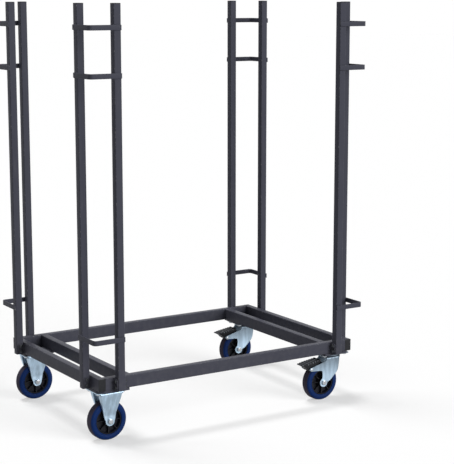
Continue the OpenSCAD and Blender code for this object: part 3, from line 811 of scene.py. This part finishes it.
class TROLLEY_OT_castor_mounts(bpy.types.Operator):
    """Castor mounts: painted plates under the corners and the bolts that hold the castors"""

    bl_idname = "trolley.castor_mounts"
    bl_label = "Castor mounts"

    def execute(self, context):
        s, c = context.scene.trolley_frame, context.scene.trolley_castors
        low, high = box("mount_plates")
        plate_low, plate_high = box("swivel_plate_back")
        (x0, y0), (x1, y1) = plate_low[:2] - c.mount_lip, high[:2]
        cut = s.mount_cut
        outline = np.array([[x0, y0], [x1, y0], [x1, y1 - cut], [x1 - cut, y1], [x0, y1]])
        plates, bolts = Shell(), Shell()
        middle = (plate_low + plate_high)[:2] / 2
        for corner in CORNERS:
            prism(plates, outline * corner, low[Z], high[Z], Z)
            for hole in CORNERS:
                spot = middle + np.array(hole) * [c.pitch_l, c.pitch_w] / 2
                at = np.append(spot * corner, low[Z] - c.plate_t)
                hexagon(bolts, c.plate_bolt * HEX_ACROSS, c.plate_bolt * HEAD_H, at, Z, -1)
        bevel(plates.build("mount_plates_cut", "frame", "frame_paint", "mount_plates"),
              s.plate_edge)
        bolts.build("castor_bolts_hex", "frame", "bolt_zinc", "castor_bolts")
        return {"FINISHED"}


def pedal_pin(side, c):
    """Middle of the pin of a brake pedal."""
    swivel = middle_of(f"swivel_plate_{side}")
    return np.array([swivel[X] - c.pin_u, swivel[Y], c.pin_z])


def castor_plate(shell, low, high, c):
    """The castor's own plate, which fills the top of its node's box: a rounded rectangle."""
    size, middle = (high - low)[:2], (low + high)[:2] / 2
    outline = rounded_outline(*size, c.plate_round, 9)[0]
    prism(shell, outline + middle, high[Z] - c.plate_t, high[Z], Z)


def pressed_sheet(shell, centre, back, front, fold_back, fold_front, y, z, inward, radius):
    """Sheet pressed to a channel. Rows follow a path across the wheel, given by y and z. Along
    a row a point runs at an even pace: straight out of the fold at the back edge, round a
    quarter circle, flat to the front, round a quarter circle and straight into the fold there.
    Folds point inwards and are as deep as given."""
    deep_b, deep_f = fold_back[:, None], fold_front[:, None]
    bend_b, bend_f = [np.clip(np.minimum(radius, d), 1e-6, None) for d in (deep_b, deep_f)]
    in_b, in_f = np.maximum(deep_b - bend_b, 0), np.maximum(deep_f - bend_f, 0)
    flat = (front - back)[:, None] - bend_b - bend_f
    turned = in_b + bend_b * np.pi / 2
    whole = turned + flat + bend_f * np.pi / 2 + in_f
    pace = whole * np.linspace(0, 1, 80)
    angle_b = np.clip((pace - in_b) / bend_b, 0, np.pi / 2)
    angle_f = np.clip((pace - turned - flat) / bend_f, 0, np.pi / 2)
    x = (back[:, None] + bend_b * (1 - np.cos(angle_b)) + np.clip(pace - turned, 0, flat)
         + bend_f * np.sin(angle_f))
    deep = (in_b + bend_b - np.clip(pace, 0, in_b) - bend_b * np.sin(angle_b)
            + bend_f * (1 - np.cos(angle_f)) + np.clip(pace - whole + in_f, 0, None))
    points = np.dstack([x, y[:, None] + inward[0][:, None] * deep,
                        z[:, None] + inward[1][:, None] * deep])
    shell.grid(points + centre, loop_cols=False)


def fork_path(levels, top, half, radius, strip=21, arc=13):
    """Path of a fork's sheet across the wheel: up one leg through the given levels, round a
    bend, over the top, round a bend and down the other leg. Gives y, z and the direction that
    points inwards."""
    turn = quarter(arc)[1:]
    bend_y = -half + radius * (1 - np.cos(turn))
    bend_z = top - radius + radius * np.sin(turn)
    over = np.linspace(-half + radius, half - radius, strip)[1:-1]
    leg_y = np.full(len(levels), -half)
    y = np.concatenate([leg_y, bend_y, over, -bend_y[::-1], -leg_y])
    z = np.concatenate([levels, bend_z, np.full(len(over), top), bend_z[::-1], levels[::-1]])
    in_y = np.concatenate([np.ones(len(levels)), np.cos(turn), np.zeros(len(over)),
                           -np.cos(turn[::-1]), -np.ones(len(levels))])
    in_z = np.concatenate([np.zeros(len(levels)), -np.sin(turn), -np.ones(len(over)),
                           -np.sin(turn[::-1]), np.zeros(len(levels))])
    return y, z, (in_y, in_z)


class TROLLEY_OT_fixed_forks(bpy.types.Operator):
    """Fixed forks: a plate and two leaning legs pressed from sheet, their edges folded in"""

    bl_idname = "trolley.fixed_forks"
    bl_label = "Fixed forks"

    def execute(self, context):
        c = context.scene.trolley_castors
        for sy in SIDES:
            node = f"fixed_fork_{FLANKS[sy]}"
            low, high = box(node)
            plate = Shell()
            castor_plate(plate, low, high, c)
            bevel(plate.build(f"{node}_plate", "frame", "zinc_sheet", node), c.sheet_edge)
            legs = Shell()
            for way in SIDES:
                self.leg(legs, np.append((low + high)[:2] / 2, 0), low[Z] + c.eye,
                         high[Z] - c.plate_t / 2, way, c)
            piece = legs.build(f"{node}_legs", "frame", "zinc_sheet", node, closed=False)
            bevel(thicken(piece, c.sheet), c.sheet_edge)
        return {"FINISHED"}

    @staticmethod
    def leg(shell, centre, axle, top, way, c):
        """Rows follow a rounded line: up from the bottom of the eye, leaning out from a knee above
        the axle and over into the plate. The width follows the eye's circle, then grows evenly and
        last flares out to the plate. The folds at both edges reach in to the side of the tyre."""
        start, knee = (c.fork_w - c.sheet) / 2, axle + c.splay_up
        ease, near, far = 0.010, 0.11, 0.90     # bend at the knee; lean at the ends of the slope
        brow, lip, tuck = 0.013, 0.003, 0.009   # bend at the top, and its run under the plate
        line = corner_cut(np.array([
            [start, axle - c.eye], [start, knee - ease], [start, knee],
            [start + c.splay * near, knee + ease], [start + c.splay * far, top - brow],
            [start + c.splay, top - lip], [start + c.splay - tuck, top]]))
        reach = np.append(0, np.cumsum(np.linalg.norm(np.diff(line, axis=0), axis=1)))
        tip = np.linspace(0.1, np.pi / 2, 24)
        run = np.concatenate([c.eye * (1 - np.cos(tip)), np.linspace(c.eye, reach[-1], 100)[1:]])
        y, z = [np.interp(run, reach, line[:, k]) for k in (0, 1)]
        slope_y, slope_z = np.gradient(y, run), np.gradient(z, run)
        size = np.hypot(slope_y, slope_z)
        shut = -way * slope_z / size, slope_y / size
        full = np.interp(top - c.flare_h, z, run)
        grown = np.clip((run - c.eye) / (full - c.eye), 0, 1)
        flare = np.clip((run - full) / (run[-1] - full), 0, 1) ** 2
        round_end = np.sqrt(np.maximum(c.eye ** 2 - (axle - z) ** 2, 0))
        half = np.where(z < axle, round_end, c.eye + (c.leg_top / 2 - c.eye) * grown)
        half = half + (c.flare_w - c.leg_top) / 2 * flare
        foot, foot_run, head, head_run = 0.004, 0.03, 0.005, 0.016  # where the folds grow and end
        fold = np.clip(y - c.fold_in, 0, None) * smooth((z - axle - foot) / foot_run)
        fold = fold * smooth((top - head - z) / head_run)
        pressed_sheet(shell, centre, -half, half, fold, fold, way * y, z, shut, c.fork_fold)


class TROLLEY_OT_swivel_forks(bpy.types.Operator):
    """Swivel forks: swept-back legs with brake arms, pressed with the crown from one sheet"""

    bl_idname = "trolley.swivel_forks"
    bl_label = "Swivel forks"

    def execute(self, context):
        c = context.scene.trolley_castors
        for sy in SIDES:
            node, plate_node = f"swivel_fork_{FLANKS[sy]}", f"swivel_plate_{FLANKS[sy]}"
            low, high = box(plate_node)
            centre = np.append((low + high)[:2] / 2, 0)
            fork = Shell()
            self.legs(fork, centre, c)
            piece = fork.build(f"{node}_pressed", f"swivel_{FLANKS[sy]}", "zinc_sheet", node,
                               closed=False)
            bevel(thicken(piece, c.sheet), c.sheet_edge)
            plate = Shell()
            castor_plate(plate, low, high, c)
            under, lip = high[Z] - c.plate_t, 0.0015
            race = np.array([[c.race_bore, low[Z]], [c.race_r - lip, low[Z]],
                             [c.race_r, low[Z] + lip], [c.race_r, under - lip],
                             [c.race_r + lip, under], [c.race_bore, under]])
            lathe(plate, race, 96, centre, Z)
            bevel(plate.build(f"{plate_node}_turned", "frame", "zinc_sheet", plate_node),
                  c.sheet_edge)
        return {"FINISHED"}

    @staticmethod
    def legs(shell, centre, c):
        """Each leg lies between a front and a back edge, both rounded lines that fall from the
        crown to the eye; the back edge runs out along the brake arm and in again below it."""
        axle, top = c.axle_z, c.crown_top - c.sheet / 2
        start, half = top - c.fork_bend, (c.fork_w - c.sheet) / 2
        crown_back, crown_front, bulge = -0.036, 0.035, 0.007
        arm_end, neck = -c.pin_u - c.arm_r, -c.trail - c.eye * 0.33
        heel, toe = -c.trail - c.eye, -c.trail + c.eye
        back = corner_cut(np.array([    # shoulder, over and under the arm, neck, eye
            [crown_back, start], [-0.040, 0.173], [-c.pin_u + 0.002, c.pin_z + c.arm_r],
            [arm_end, c.pin_z + 0.006], [arm_end, c.pin_z - 0.004],
            [-c.pin_u - 0.002, c.pin_z - c.arm_r], [neck - 0.006, 0.1350], [neck, 0.128],
            [neck, 0.102], [neck - 0.003, 0.096], [heel, axle + 0.008], [heel, axle]]))
        front = corner_cut(np.array([   # one sweep from the crown back to the eye
            [crown_front, start], [0.034, 0.154], [0.023, 0.124], [-0.002, 0.100],
            [toe + 0.012, axle + 0.004], [toe, axle]]))
        under = axle - c.eye * np.sin(np.linspace(0, np.pi / 2 - 0.1, 24))
        levels = np.concatenate([under[::-1][:-1], back[::-1, 1]])
        y, z, inward = fork_path(levels, top, half, c.fork_bend)
        eye = np.sqrt(np.maximum(c.eye ** 2 - (axle - z) ** 2, 0))
        bulge = bulge * np.cos(np.clip(y / half, -1, 1) * np.pi / 2)
        high = z > start
        edge_b = np.interp(z, back[::-1, 1], back[::-1, 0])
        edge_f = np.interp(z, front[::-1, 1], front[::-1, 0])
        x_back = np.where(z < axle, -c.trail - eye, np.where(high, crown_back - bulge, edge_b))
        x_front = np.where(z < axle, -c.trail + eye, np.where(high, crown_front + bulge, edge_f))
        folds = ((0.003, 0.088, 0.02), (0.009, 0.118, 0.04))    # depth, start and rise of each
        ahead = sum(deep * smooth((z - low) / rise) for deep, low, rise in folds)
        ahead = np.where(high, ahead * np.abs(inward[0]), ahead)
        pressed_sheet(shell, centre, x_back, x_front, np.zeros(len(z)), ahead, y, z, inward,
                      c.front_fold)


class TROLLEY_OT_axles(bpy.types.Operator):
    """Axles: hexagon bolts and nuts through the forks, and the pedals' headed pins"""

    bl_idname = "trolley.axles"
    bl_label = "Axles and pins"

    def execute(self, context):
        c = context.scene.trolley_castors
        fixed = Shell()
        for sy in SIDES:
            side = FLANKS[sy]
            bolt_set(fixed, c.axle, c.fork_w, middle_of(f"tyre_{side}_left"), Y, sy)
            pins = Shell()
            bolt_set(pins, c.axle, c.fork_w, middle_of(f"tyre_{side}_right"), Y, sy)
            half, head, rim, end = c.fork_w / 2, c.pin * 0.8, 0.0013, 0.002
            pin = np.array([[head * 0.8, -half - end], [head, -half - rim], [head, -half],
                            [c.pin / 2, -half], [c.pin / 2, half], [head, half],
                            [head, half + rim], [head * 0.8, half + end]])
            lathe(pins, pin, 40, pedal_pin(side, c), Y, ends=True, loop=False)
            pins.build(f"swivel_pins_{side}_hex", f"swivel_{side}", "bolt_zinc",
                       f"swivel_pins_{side}")
        fixed.build("fixed_axles_hex", "frame", "bolt_zinc", "fixed_axles")
        return {"FINISHED"}


class TROLLEY_OT_brake_pedals(bpy.types.Operator):
    """Brake pedals: ridged rockers on their pins, with a cam shoe underneath"""

    bl_idname = "trolley.brake_pedals"
    bl_label = "Brake pedals"

    def execute(self, context):
        c = context.scene.trolley_castors
        for sy in SIDES:
            node = f"brake_pedal_{FLANKS[sy]}"
            low, high = box(node)
            shell = Shell()
            self.rocker(shell, pedal_pin(FLANKS[sy], c), (high[Y] - low[Y]) / 2, c)
            shell.build(f"{node}_cast", f"pedal_{FLANKS[sy]}", "pedal_black", node)
        return {"FINISHED"}

    @staticmethod
    def rocker(shell, at, half, c):
        """Sections from the tip to the inner end, each a rounded rectangle between an underside
        and a top that slope up, with a row of rounded ridges across the top. The boss is a
        cylinder about the pin with a cam on it."""
        # Underside: distance from the pin, towards the inner end, and height above the pin
        below = np.array([[-0.044, 0.0185], [-0.034, 0.0180], [-0.028, 0.0125], [-0.012, 0.001],
                          [0.004, 0.001], [0.056, 0.0280]])
        tip_top, climb = 0.0207, 0.0150         # height of the top at the tip, and its slope
        tip_round, end_round = 0.006, 0.003     # rounding of the tip and of the inner end
        taper, taper_run = 0.004, 0.35          # narrowing of the tip, and its share of the run
        edge = 0.0016                           # rounding of the long edges
        u = np.linspace(below[0, 0], below[-1, 0], 240)
        share = (u - u[0]) / (u[-1] - u[0])
        phase = share * c.ridge_n % 1
        ridge = smooth((0.5 - np.abs(phase - 0.5)) * 4.2 - 0.85)
        under = np.interp(u, *below.T)
        off = np.maximum((tip_round - (u - u[0])) / tip_round,
                         (end_round - (u[-1] - u)) / end_round)
        end = np.sqrt(np.clip(1 - np.maximum(off, 0) ** 2, 0, 1))
        width = (half - taper * smooth(1 - share / taper_run)) * (0.75 + 0.25 * end)
        raised = tip_top + climb * share + c.ridge_h * ridge
        middle, tall = (raised + under) / 2, (raised - under) / 2 * (0.35 + 0.65 * end)
        r = np.minimum(edge, tall * 0.8)[:, None]
        turn = (np.arange(4)[:, None] * np.pi / 2 + quarter(7)).ravel()
        sy = np.repeat([1, -1, -1, 1], 7)
        sz = np.repeat([1, 1, -1, -1], 7)
        y = sy * (width[:, None] - r) + r * np.cos(turn)
        z = sz * (tall[:, None] - r) + r * np.sin(turn) + middle[:, None]
        points = np.dstack([np.repeat(u[:, None], len(turn), 1), y, z])
        shell.grid(points + at, ridge[:, None] * (sz > 0), ends=True)
        turn, cam_way, cam_wide, lip = circle(72), math.radians(-75.4), 0.42, 0.0005
        lag = (turn - cam_way + np.pi) % (2 * np.pi) - np.pi
        radius = c.boss_r + c.cam_h * np.exp(-(lag / cam_wide) ** 2)
        across = np.array([-half + lip, -half + 2 * lip, half - 2 * lip, half - lip])
        scale = np.array([0.94, 1.0, 1.0, 0.94])[:, None]
        ring = np.dstack([scale * radius * np.cos(turn), np.repeat(across[:, None], 72, 1),
                          scale * radius * np.sin(turn)])
        shell.grid(ring + at, ends=True)


class TROLLEY_OT_tyres(bpy.types.Operator):
    """Tyres: blue rubber with round shoulders, a groove in each flank and a worn tread"""

    bl_idname = "trolley.tyres"
    bl_label = "Tyres"

    def execute(self, context):
        c = context.scene.trolley_castors
        for name in CASTORS:
            low, high = box(f"tyre_{name}")
            shell = Shell()
            self.ring(shell, low, high, c)
            shell.build(f"tyre_{name}_rubber", f"wheel_{name}", "blue_rubber", f"tyre_{name}",
                        trait="tread")
        return {"FINISHED"}

    @staticmethod
    def ring(shell, low, high, c):
        """A closed profile turned about the axle: up the flank with a shallow groove, round a
        quarter-circle shoulder, over a flat tread, and back down."""
        outer, half, q = (high[Z] - low[Z]) / 2, (high[Y] - low[Y]) / 2, c.shoulder
        flank, rim = outer - q, c.rim_r
        groove_up, groove_w = 0.0045, 0.0011    # place of the groove above the rim, and its width
        worn, fade = 0.0035, 0.003              # depth to which the tread is worn, and its fading
        bead_in, bead_edge = 0.0035, 0.0012     # rounding of the tyre's foot at the rim
        r = np.linspace(rim + bead_edge, flank, 26)
        groove = c.groove * np.exp(-((r - rim - groove_up) / groove_w) ** 2)
        lip = 0.0004 * smooth((rim + 0.003 - r) / 0.002)
        turn = quarter(16)[1:]
        y = np.linspace(half - q, 0, 9)[1:]
        side = np.vstack([
            [[rim, half - bead_in], [rim + 0.0003, half - bead_edge]],
            np.stack([r, half - groove - lip], -1),
            np.stack([flank + q * np.sin(turn), half - q + q * np.cos(turn)], -1),
            np.stack([np.full(len(y), outer), y], -1)])
        profile = np.vstack([side, side[-2::-1] * [1, -1]])
        tread = smooth((profile[:, 0] - (outer - worn)) / fade)
        lathe(shell, profile, 144, (low + high) / 2, Y, tread)


class TROLLEY_OT_hubs(bpy.types.Operator):
    """Hubs: black ribbed mouldings with a rim and a barrel"""

    bl_idname = "trolley.hubs"
    bl_label = "Hubs"

    def execute(self, context):
        c = context.scene.trolley_castors
        for name in CASTORS:
            low, high = box(f"hub_{name}")
            shell = Shell()
            self.moulding(shell, (low + high) / 2, (high[Y] - low[Y]) / 2, c)
            shell.build(f"hub_{name}_moulded", f"wheel_{name}", "hub_plastic", f"hub_{name}",
                        sharp=50.0)
        return {"FINISHED"}

    @staticmethod
    def moulding(shell, centre, half, c):
        """Each face is a height over radius and angle: high on the barrel and the rim, low on
        the web, with smooth flanks between, and raised where a rib crosses the web."""
        barrel_r, rim_r = c.barrel_r, c.rim_r
        rows = np.concatenate([
            np.linspace(c.bush_r, barrel_r - 0.002, 6),
            np.linspace(barrel_r - 0.0015, barrel_r + 0.003, 14),
            np.linspace(barrel_r + 0.004, rim_r - 0.009, 16),
            np.linspace(rim_r - 0.0082, rim_r - 0.0002, 18)])
        turn, r = circle(256), rows[:, None]
        soft, rib_out, rib_soft = 0.0016, 0.0011, 0.0018    # flanks of the barrel and the ribs
        rim_w, rim_soft = 0.0078, 0.0034                    # width of the rim, and its flank
        lip, lip_w, lip_soft = 0.2, 0.0014, 0.0012          # the rim's fall to its outer edge
        barrel = smooth((barrel_r + soft - r) / (2 * soft))
        rim = smooth((r - rim_r + rim_w) / rim_soft)
        rim = rim - lip * smooth((r - rim_r + lip_w) / lip_soft)
        web = c.web + (half - c.web) * barrel + c.rim_h * rim
        step = 2 * np.pi / c.rib_n
        apart = np.abs((turn + step / 2) % step - step / 2) * r
        rib = smooth((c.rib_t / 2 + rib_out - apart) / rib_soft)
        reach = np.clip((r - barrel_r) / (rim_r - 0.006 - barrel_r), 0, 1)
        rib_top = c.rib_h - c.rib_sag * np.sin(np.pi * reach)
        face = np.maximum(web, web * (1 - rib) + rib_top * rib)
        front = np.dstack([r * np.cos(turn), face, r * np.sin(turn)])
        points = np.concatenate([front, front[::-1] * [1, -1, 1]])
        shell.grid(points + centre, loop_rows=True)


class TROLLEY_OT_welds(bpy.types.Operator):
    """Weld beads where bars, lugs and cross rails meet the tubes"""

    bl_idname = "trolley.welds"
    bl_label = "Weld beads"

    def execute(self, context):
        s = context.scene.trolley_frame
        shell = Shell()
        bar_share, lug_share = 0.42, 0.46   # half a bead's length on a bar's and a lug's edge
        for origin, out, along, width in feet():
            for level in LEVELS:
                low, high = box(f"{level}_bar_back_right")
                for z in (low[Z], high[Z]):
                    base = origin + out * width + UP * (z - origin[Z])
                    run = along * width * bar_share
                    self.bead(shell, base - run, base + run, s)
            for way in SIDES:
                base = origin + along * way * (width / 2 + s.lug_t)
                run = UP * s.lug_h * lug_share
                self.bead(shell, base - run, base + run, s)
        for end in ENDS.values():
            low, high = box(f"{end}_cross_rail")
            inner = min(box(f"{end}_rail"), key=lambda corner: abs(corner[X]))[X]
            for x, short in ((low[X], 0.004), (high[X], 0.004), (inner, 0.003)):
                for y in (low[Y], high[Y]):
                    base = np.array([x, y, 0])
                    self.bead(shell, base + UP * (low[Z] + short), base + UP * (high[Z] - short), s)
        shell.build("weld_beads", "frame", "frame_paint", sharp=60.0)
        return {"FINISHED"}

    @staticmethod
    def bead(shell, start, stop, s):
        """A round bead along a line: its radius ripples once a pitch and tapers at both ends."""
        run = stop - start
        span = np.linalg.norm(run)
        t = np.linspace(0, 1, max(8, int(span / s.bead_pitch * 5)))
        ripple = np.abs(np.sin(np.pi * t * span / s.bead_pitch))
        taper = np.sqrt(np.clip(np.minimum(t, 1 - t) * span / s.bead, 0.04, 1))
        radius = s.bead * (0.86 + 0.14 * ripple) * taper
        axis = int(np.argmax(np.abs(run)))
        ring = around(radius[:, None], circle(10), 0.0)
        points = axis_last(ring, axis) + (start + t[:, None] * run)[:, None]
        shell.grid(points, 0.25, ends=True)


class TROLLEY_OT_inner_metal(bpy.types.Operator):
    """Inner metal: kingpins, balls and bushes, whose solids stay and get their finishes"""

    bl_idname = "trolley.inner_metal"
    bl_label = "Kingpins, balls and bushes"

    def execute(self, context):
        for entry in frame["record"]["subparts"]:
            node = frame["nodes"][entry["node"]]
            if not node.hide_render:
                node.data.materials.clear()
                node.data.materials.append(finish(entry["material_slot"]))
        return {"FINISHED"}


class TROLLEY_OT_stage(bpy.types.Operator):
    """Stage: pale floor, soft daylight and the camera"""

    bl_idname = "trolley.stage"
    bl_label = "Studio"

    def execute(self, context):
        self.floor(context)
        self.light(context)
        self.camera(context)
        return {"FINISHED"}

    @staticmethod
    def seen(tree):
        """1 for rays that show a surface in the picture, straight on, mirrored or through a clear
        piece, and 0 for those that light the trolley."""
        path = tree.nodes.new("ShaderNodeLightPath")
        ways = ("Is Camera Ray", "Is Glossy Ray", "Is Transmission Ray")
        return sum(Value(tree, path.outputs[way]) for way in ways)

    def floor(self, context):
        """A wide flat sheet. Where it is seen, it is white and keeps half the depth of its shadows;
        the light that it throws back is that of a pale grey floor."""
        mesh = bpy.data.meshes.new("studio_floor")
        square = ((-1, -1), (1, -1), (1, 1), (-1, 1))
        mesh.from_pydata([(x * FLOOR_HALF, y * FLOOR_HALF, 0) for x, y in square], [],
                         [(0, 1, 2, 3)])
        floor = bpy.data.objects.new("studio_floor", mesh)
        context.scene.collection.objects.link(floor)
        ground = Finish("studio_floor", roughness=1.0, specular_ior_level=0.0)
        tree, c = ground.tree, context.scene.trolley_colours
        seen = self.seen(tree)
        ground.dress(base_color=ground.mix(seen, c.floor, c.paper))
        glow = ground.node("ShaderNodeEmission", {}, {})
        blend = ground.node("ShaderNodeMixShader", {}, {0: seen * SHADOW})
        mixer = blend.socket.node
        tree.links.new(ground.shader.outputs[0], mixer.inputs[1])
        tree.links.new(glow.socket, mixer.inputs[2])
        tree.links.new(blend.socket, tree.nodes["Material Output"].inputs["Surface"])
        mesh.materials.append(ground.material)

    def light(self, context):
        """White surroundings, dimmer where they light the trolley, and two soft suns."""
        world = bpy.data.worlds.new("studio")
        context.scene.world = world
        world.use_nodes = True
        tree = world.node_tree
        sky = tree.nodes["Background"]
        seen = self.seen(tree)
        feed(tree, sky.inputs["Color"], (1.0, 1.0, 1.0))
        feed(tree, sky.inputs["Strength"], SKY + seen * (1 - SKY))
        for name, (way, strength, spread) in SUNS.items():
            lamp = bpy.data.lights.new(f"studio_{name}", "SUN")
            lamp.energy = strength
            lamp.angle = math.radians(spread)
            sun = bpy.data.objects.new(f"studio_{name}", lamp)
            sun.rotation_euler = Vector(way).to_track_quat("-Z", "Y").to_euler()
            context.scene.collection.objects.link(sun)

    def camera(self, context):
        """Eye-level view from the front left, as the photograph was taken."""
        data = bpy.data.cameras.new("studio_camera")
        data.sensor_fit = "HORIZONTAL"
        data.sensor_width = 36.0
        data.lens = LENS
        data.clip_end = 200.0
        camera = bpy.data.objects.new("studio_camera", data)
        way = Vector((math.sin(YAW) * math.cos(PITCH), math.cos(YAW) * math.cos(PITCH),
                      -math.sin(PITCH)))
        camera.location = EYE
        camera.rotation_euler = way.to_track_quat("-Z", "Y").to_euler()
        context.scene.collection.objects.link(camera)
        context.scene.camera = camera
        context.scene.view_settings.view_transform = "Standard"


OPERATORS = (
    TROLLEY_OT_rails, TROLLEY_OT_posts, TROLLEY_OT_guard_bars, TROLLEY_OT_plugs,
    TROLLEY_OT_post_feet, TROLLEY_OT_castor_mounts, TROLLEY_OT_fixed_forks,
    TROLLEY_OT_swivel_forks, TROLLEY_OT_axles, TROLLEY_OT_brake_pedals, TROLLEY_OT_tyres,
    TROLLEY_OT_hubs, TROLLEY_OT_welds, TROLLEY_OT_inner_metal, TROLLEY_OT_stage,
)


class TROLLEY_PT_panel(bpy.types.Panel):
    """Lists the trolley's pieces in the order in which they are made"""

    bl_idname = "TROLLEY_PT_panel"
    bl_label = "Table trolley"
    bl_space_type = "VIEW_3D"
    bl_region_type = "UI"
    bl_category = "Trolley"

    def draw(self, context):
        for operator in OPERATORS:
            self.layout.operator(operator.bl_idname)


SETTINGS = {"trolley_frame": FrameSizes, "trolley_castors": CastorSizes,
            "trolley_colours": Colours}
CLASSES = (*SETTINGS.values(), *OPERATORS, TROLLEY_PT_panel)


def register():
    for cls in CLASSES:
        bpy.utils.register_class(cls)
    for name, group in SETTINGS.items():
        setattr(bpy.types.Scene, name, PointerProperty(type=group))


def unregister():
    for name in SETTINGS:
        delattr(bpy.types.Scene, name)
    for cls in reversed(CLASSES):
        bpy.utils.unregister_class(cls)


def main():
    register()
    for operator in OPERATORS:
        group, name = operator.bl_idname.split(".")
        getattr(getattr(bpy.ops, group), name)()
    bpy.context.view_layer.update()


if __name__ == "__main__":
    main()
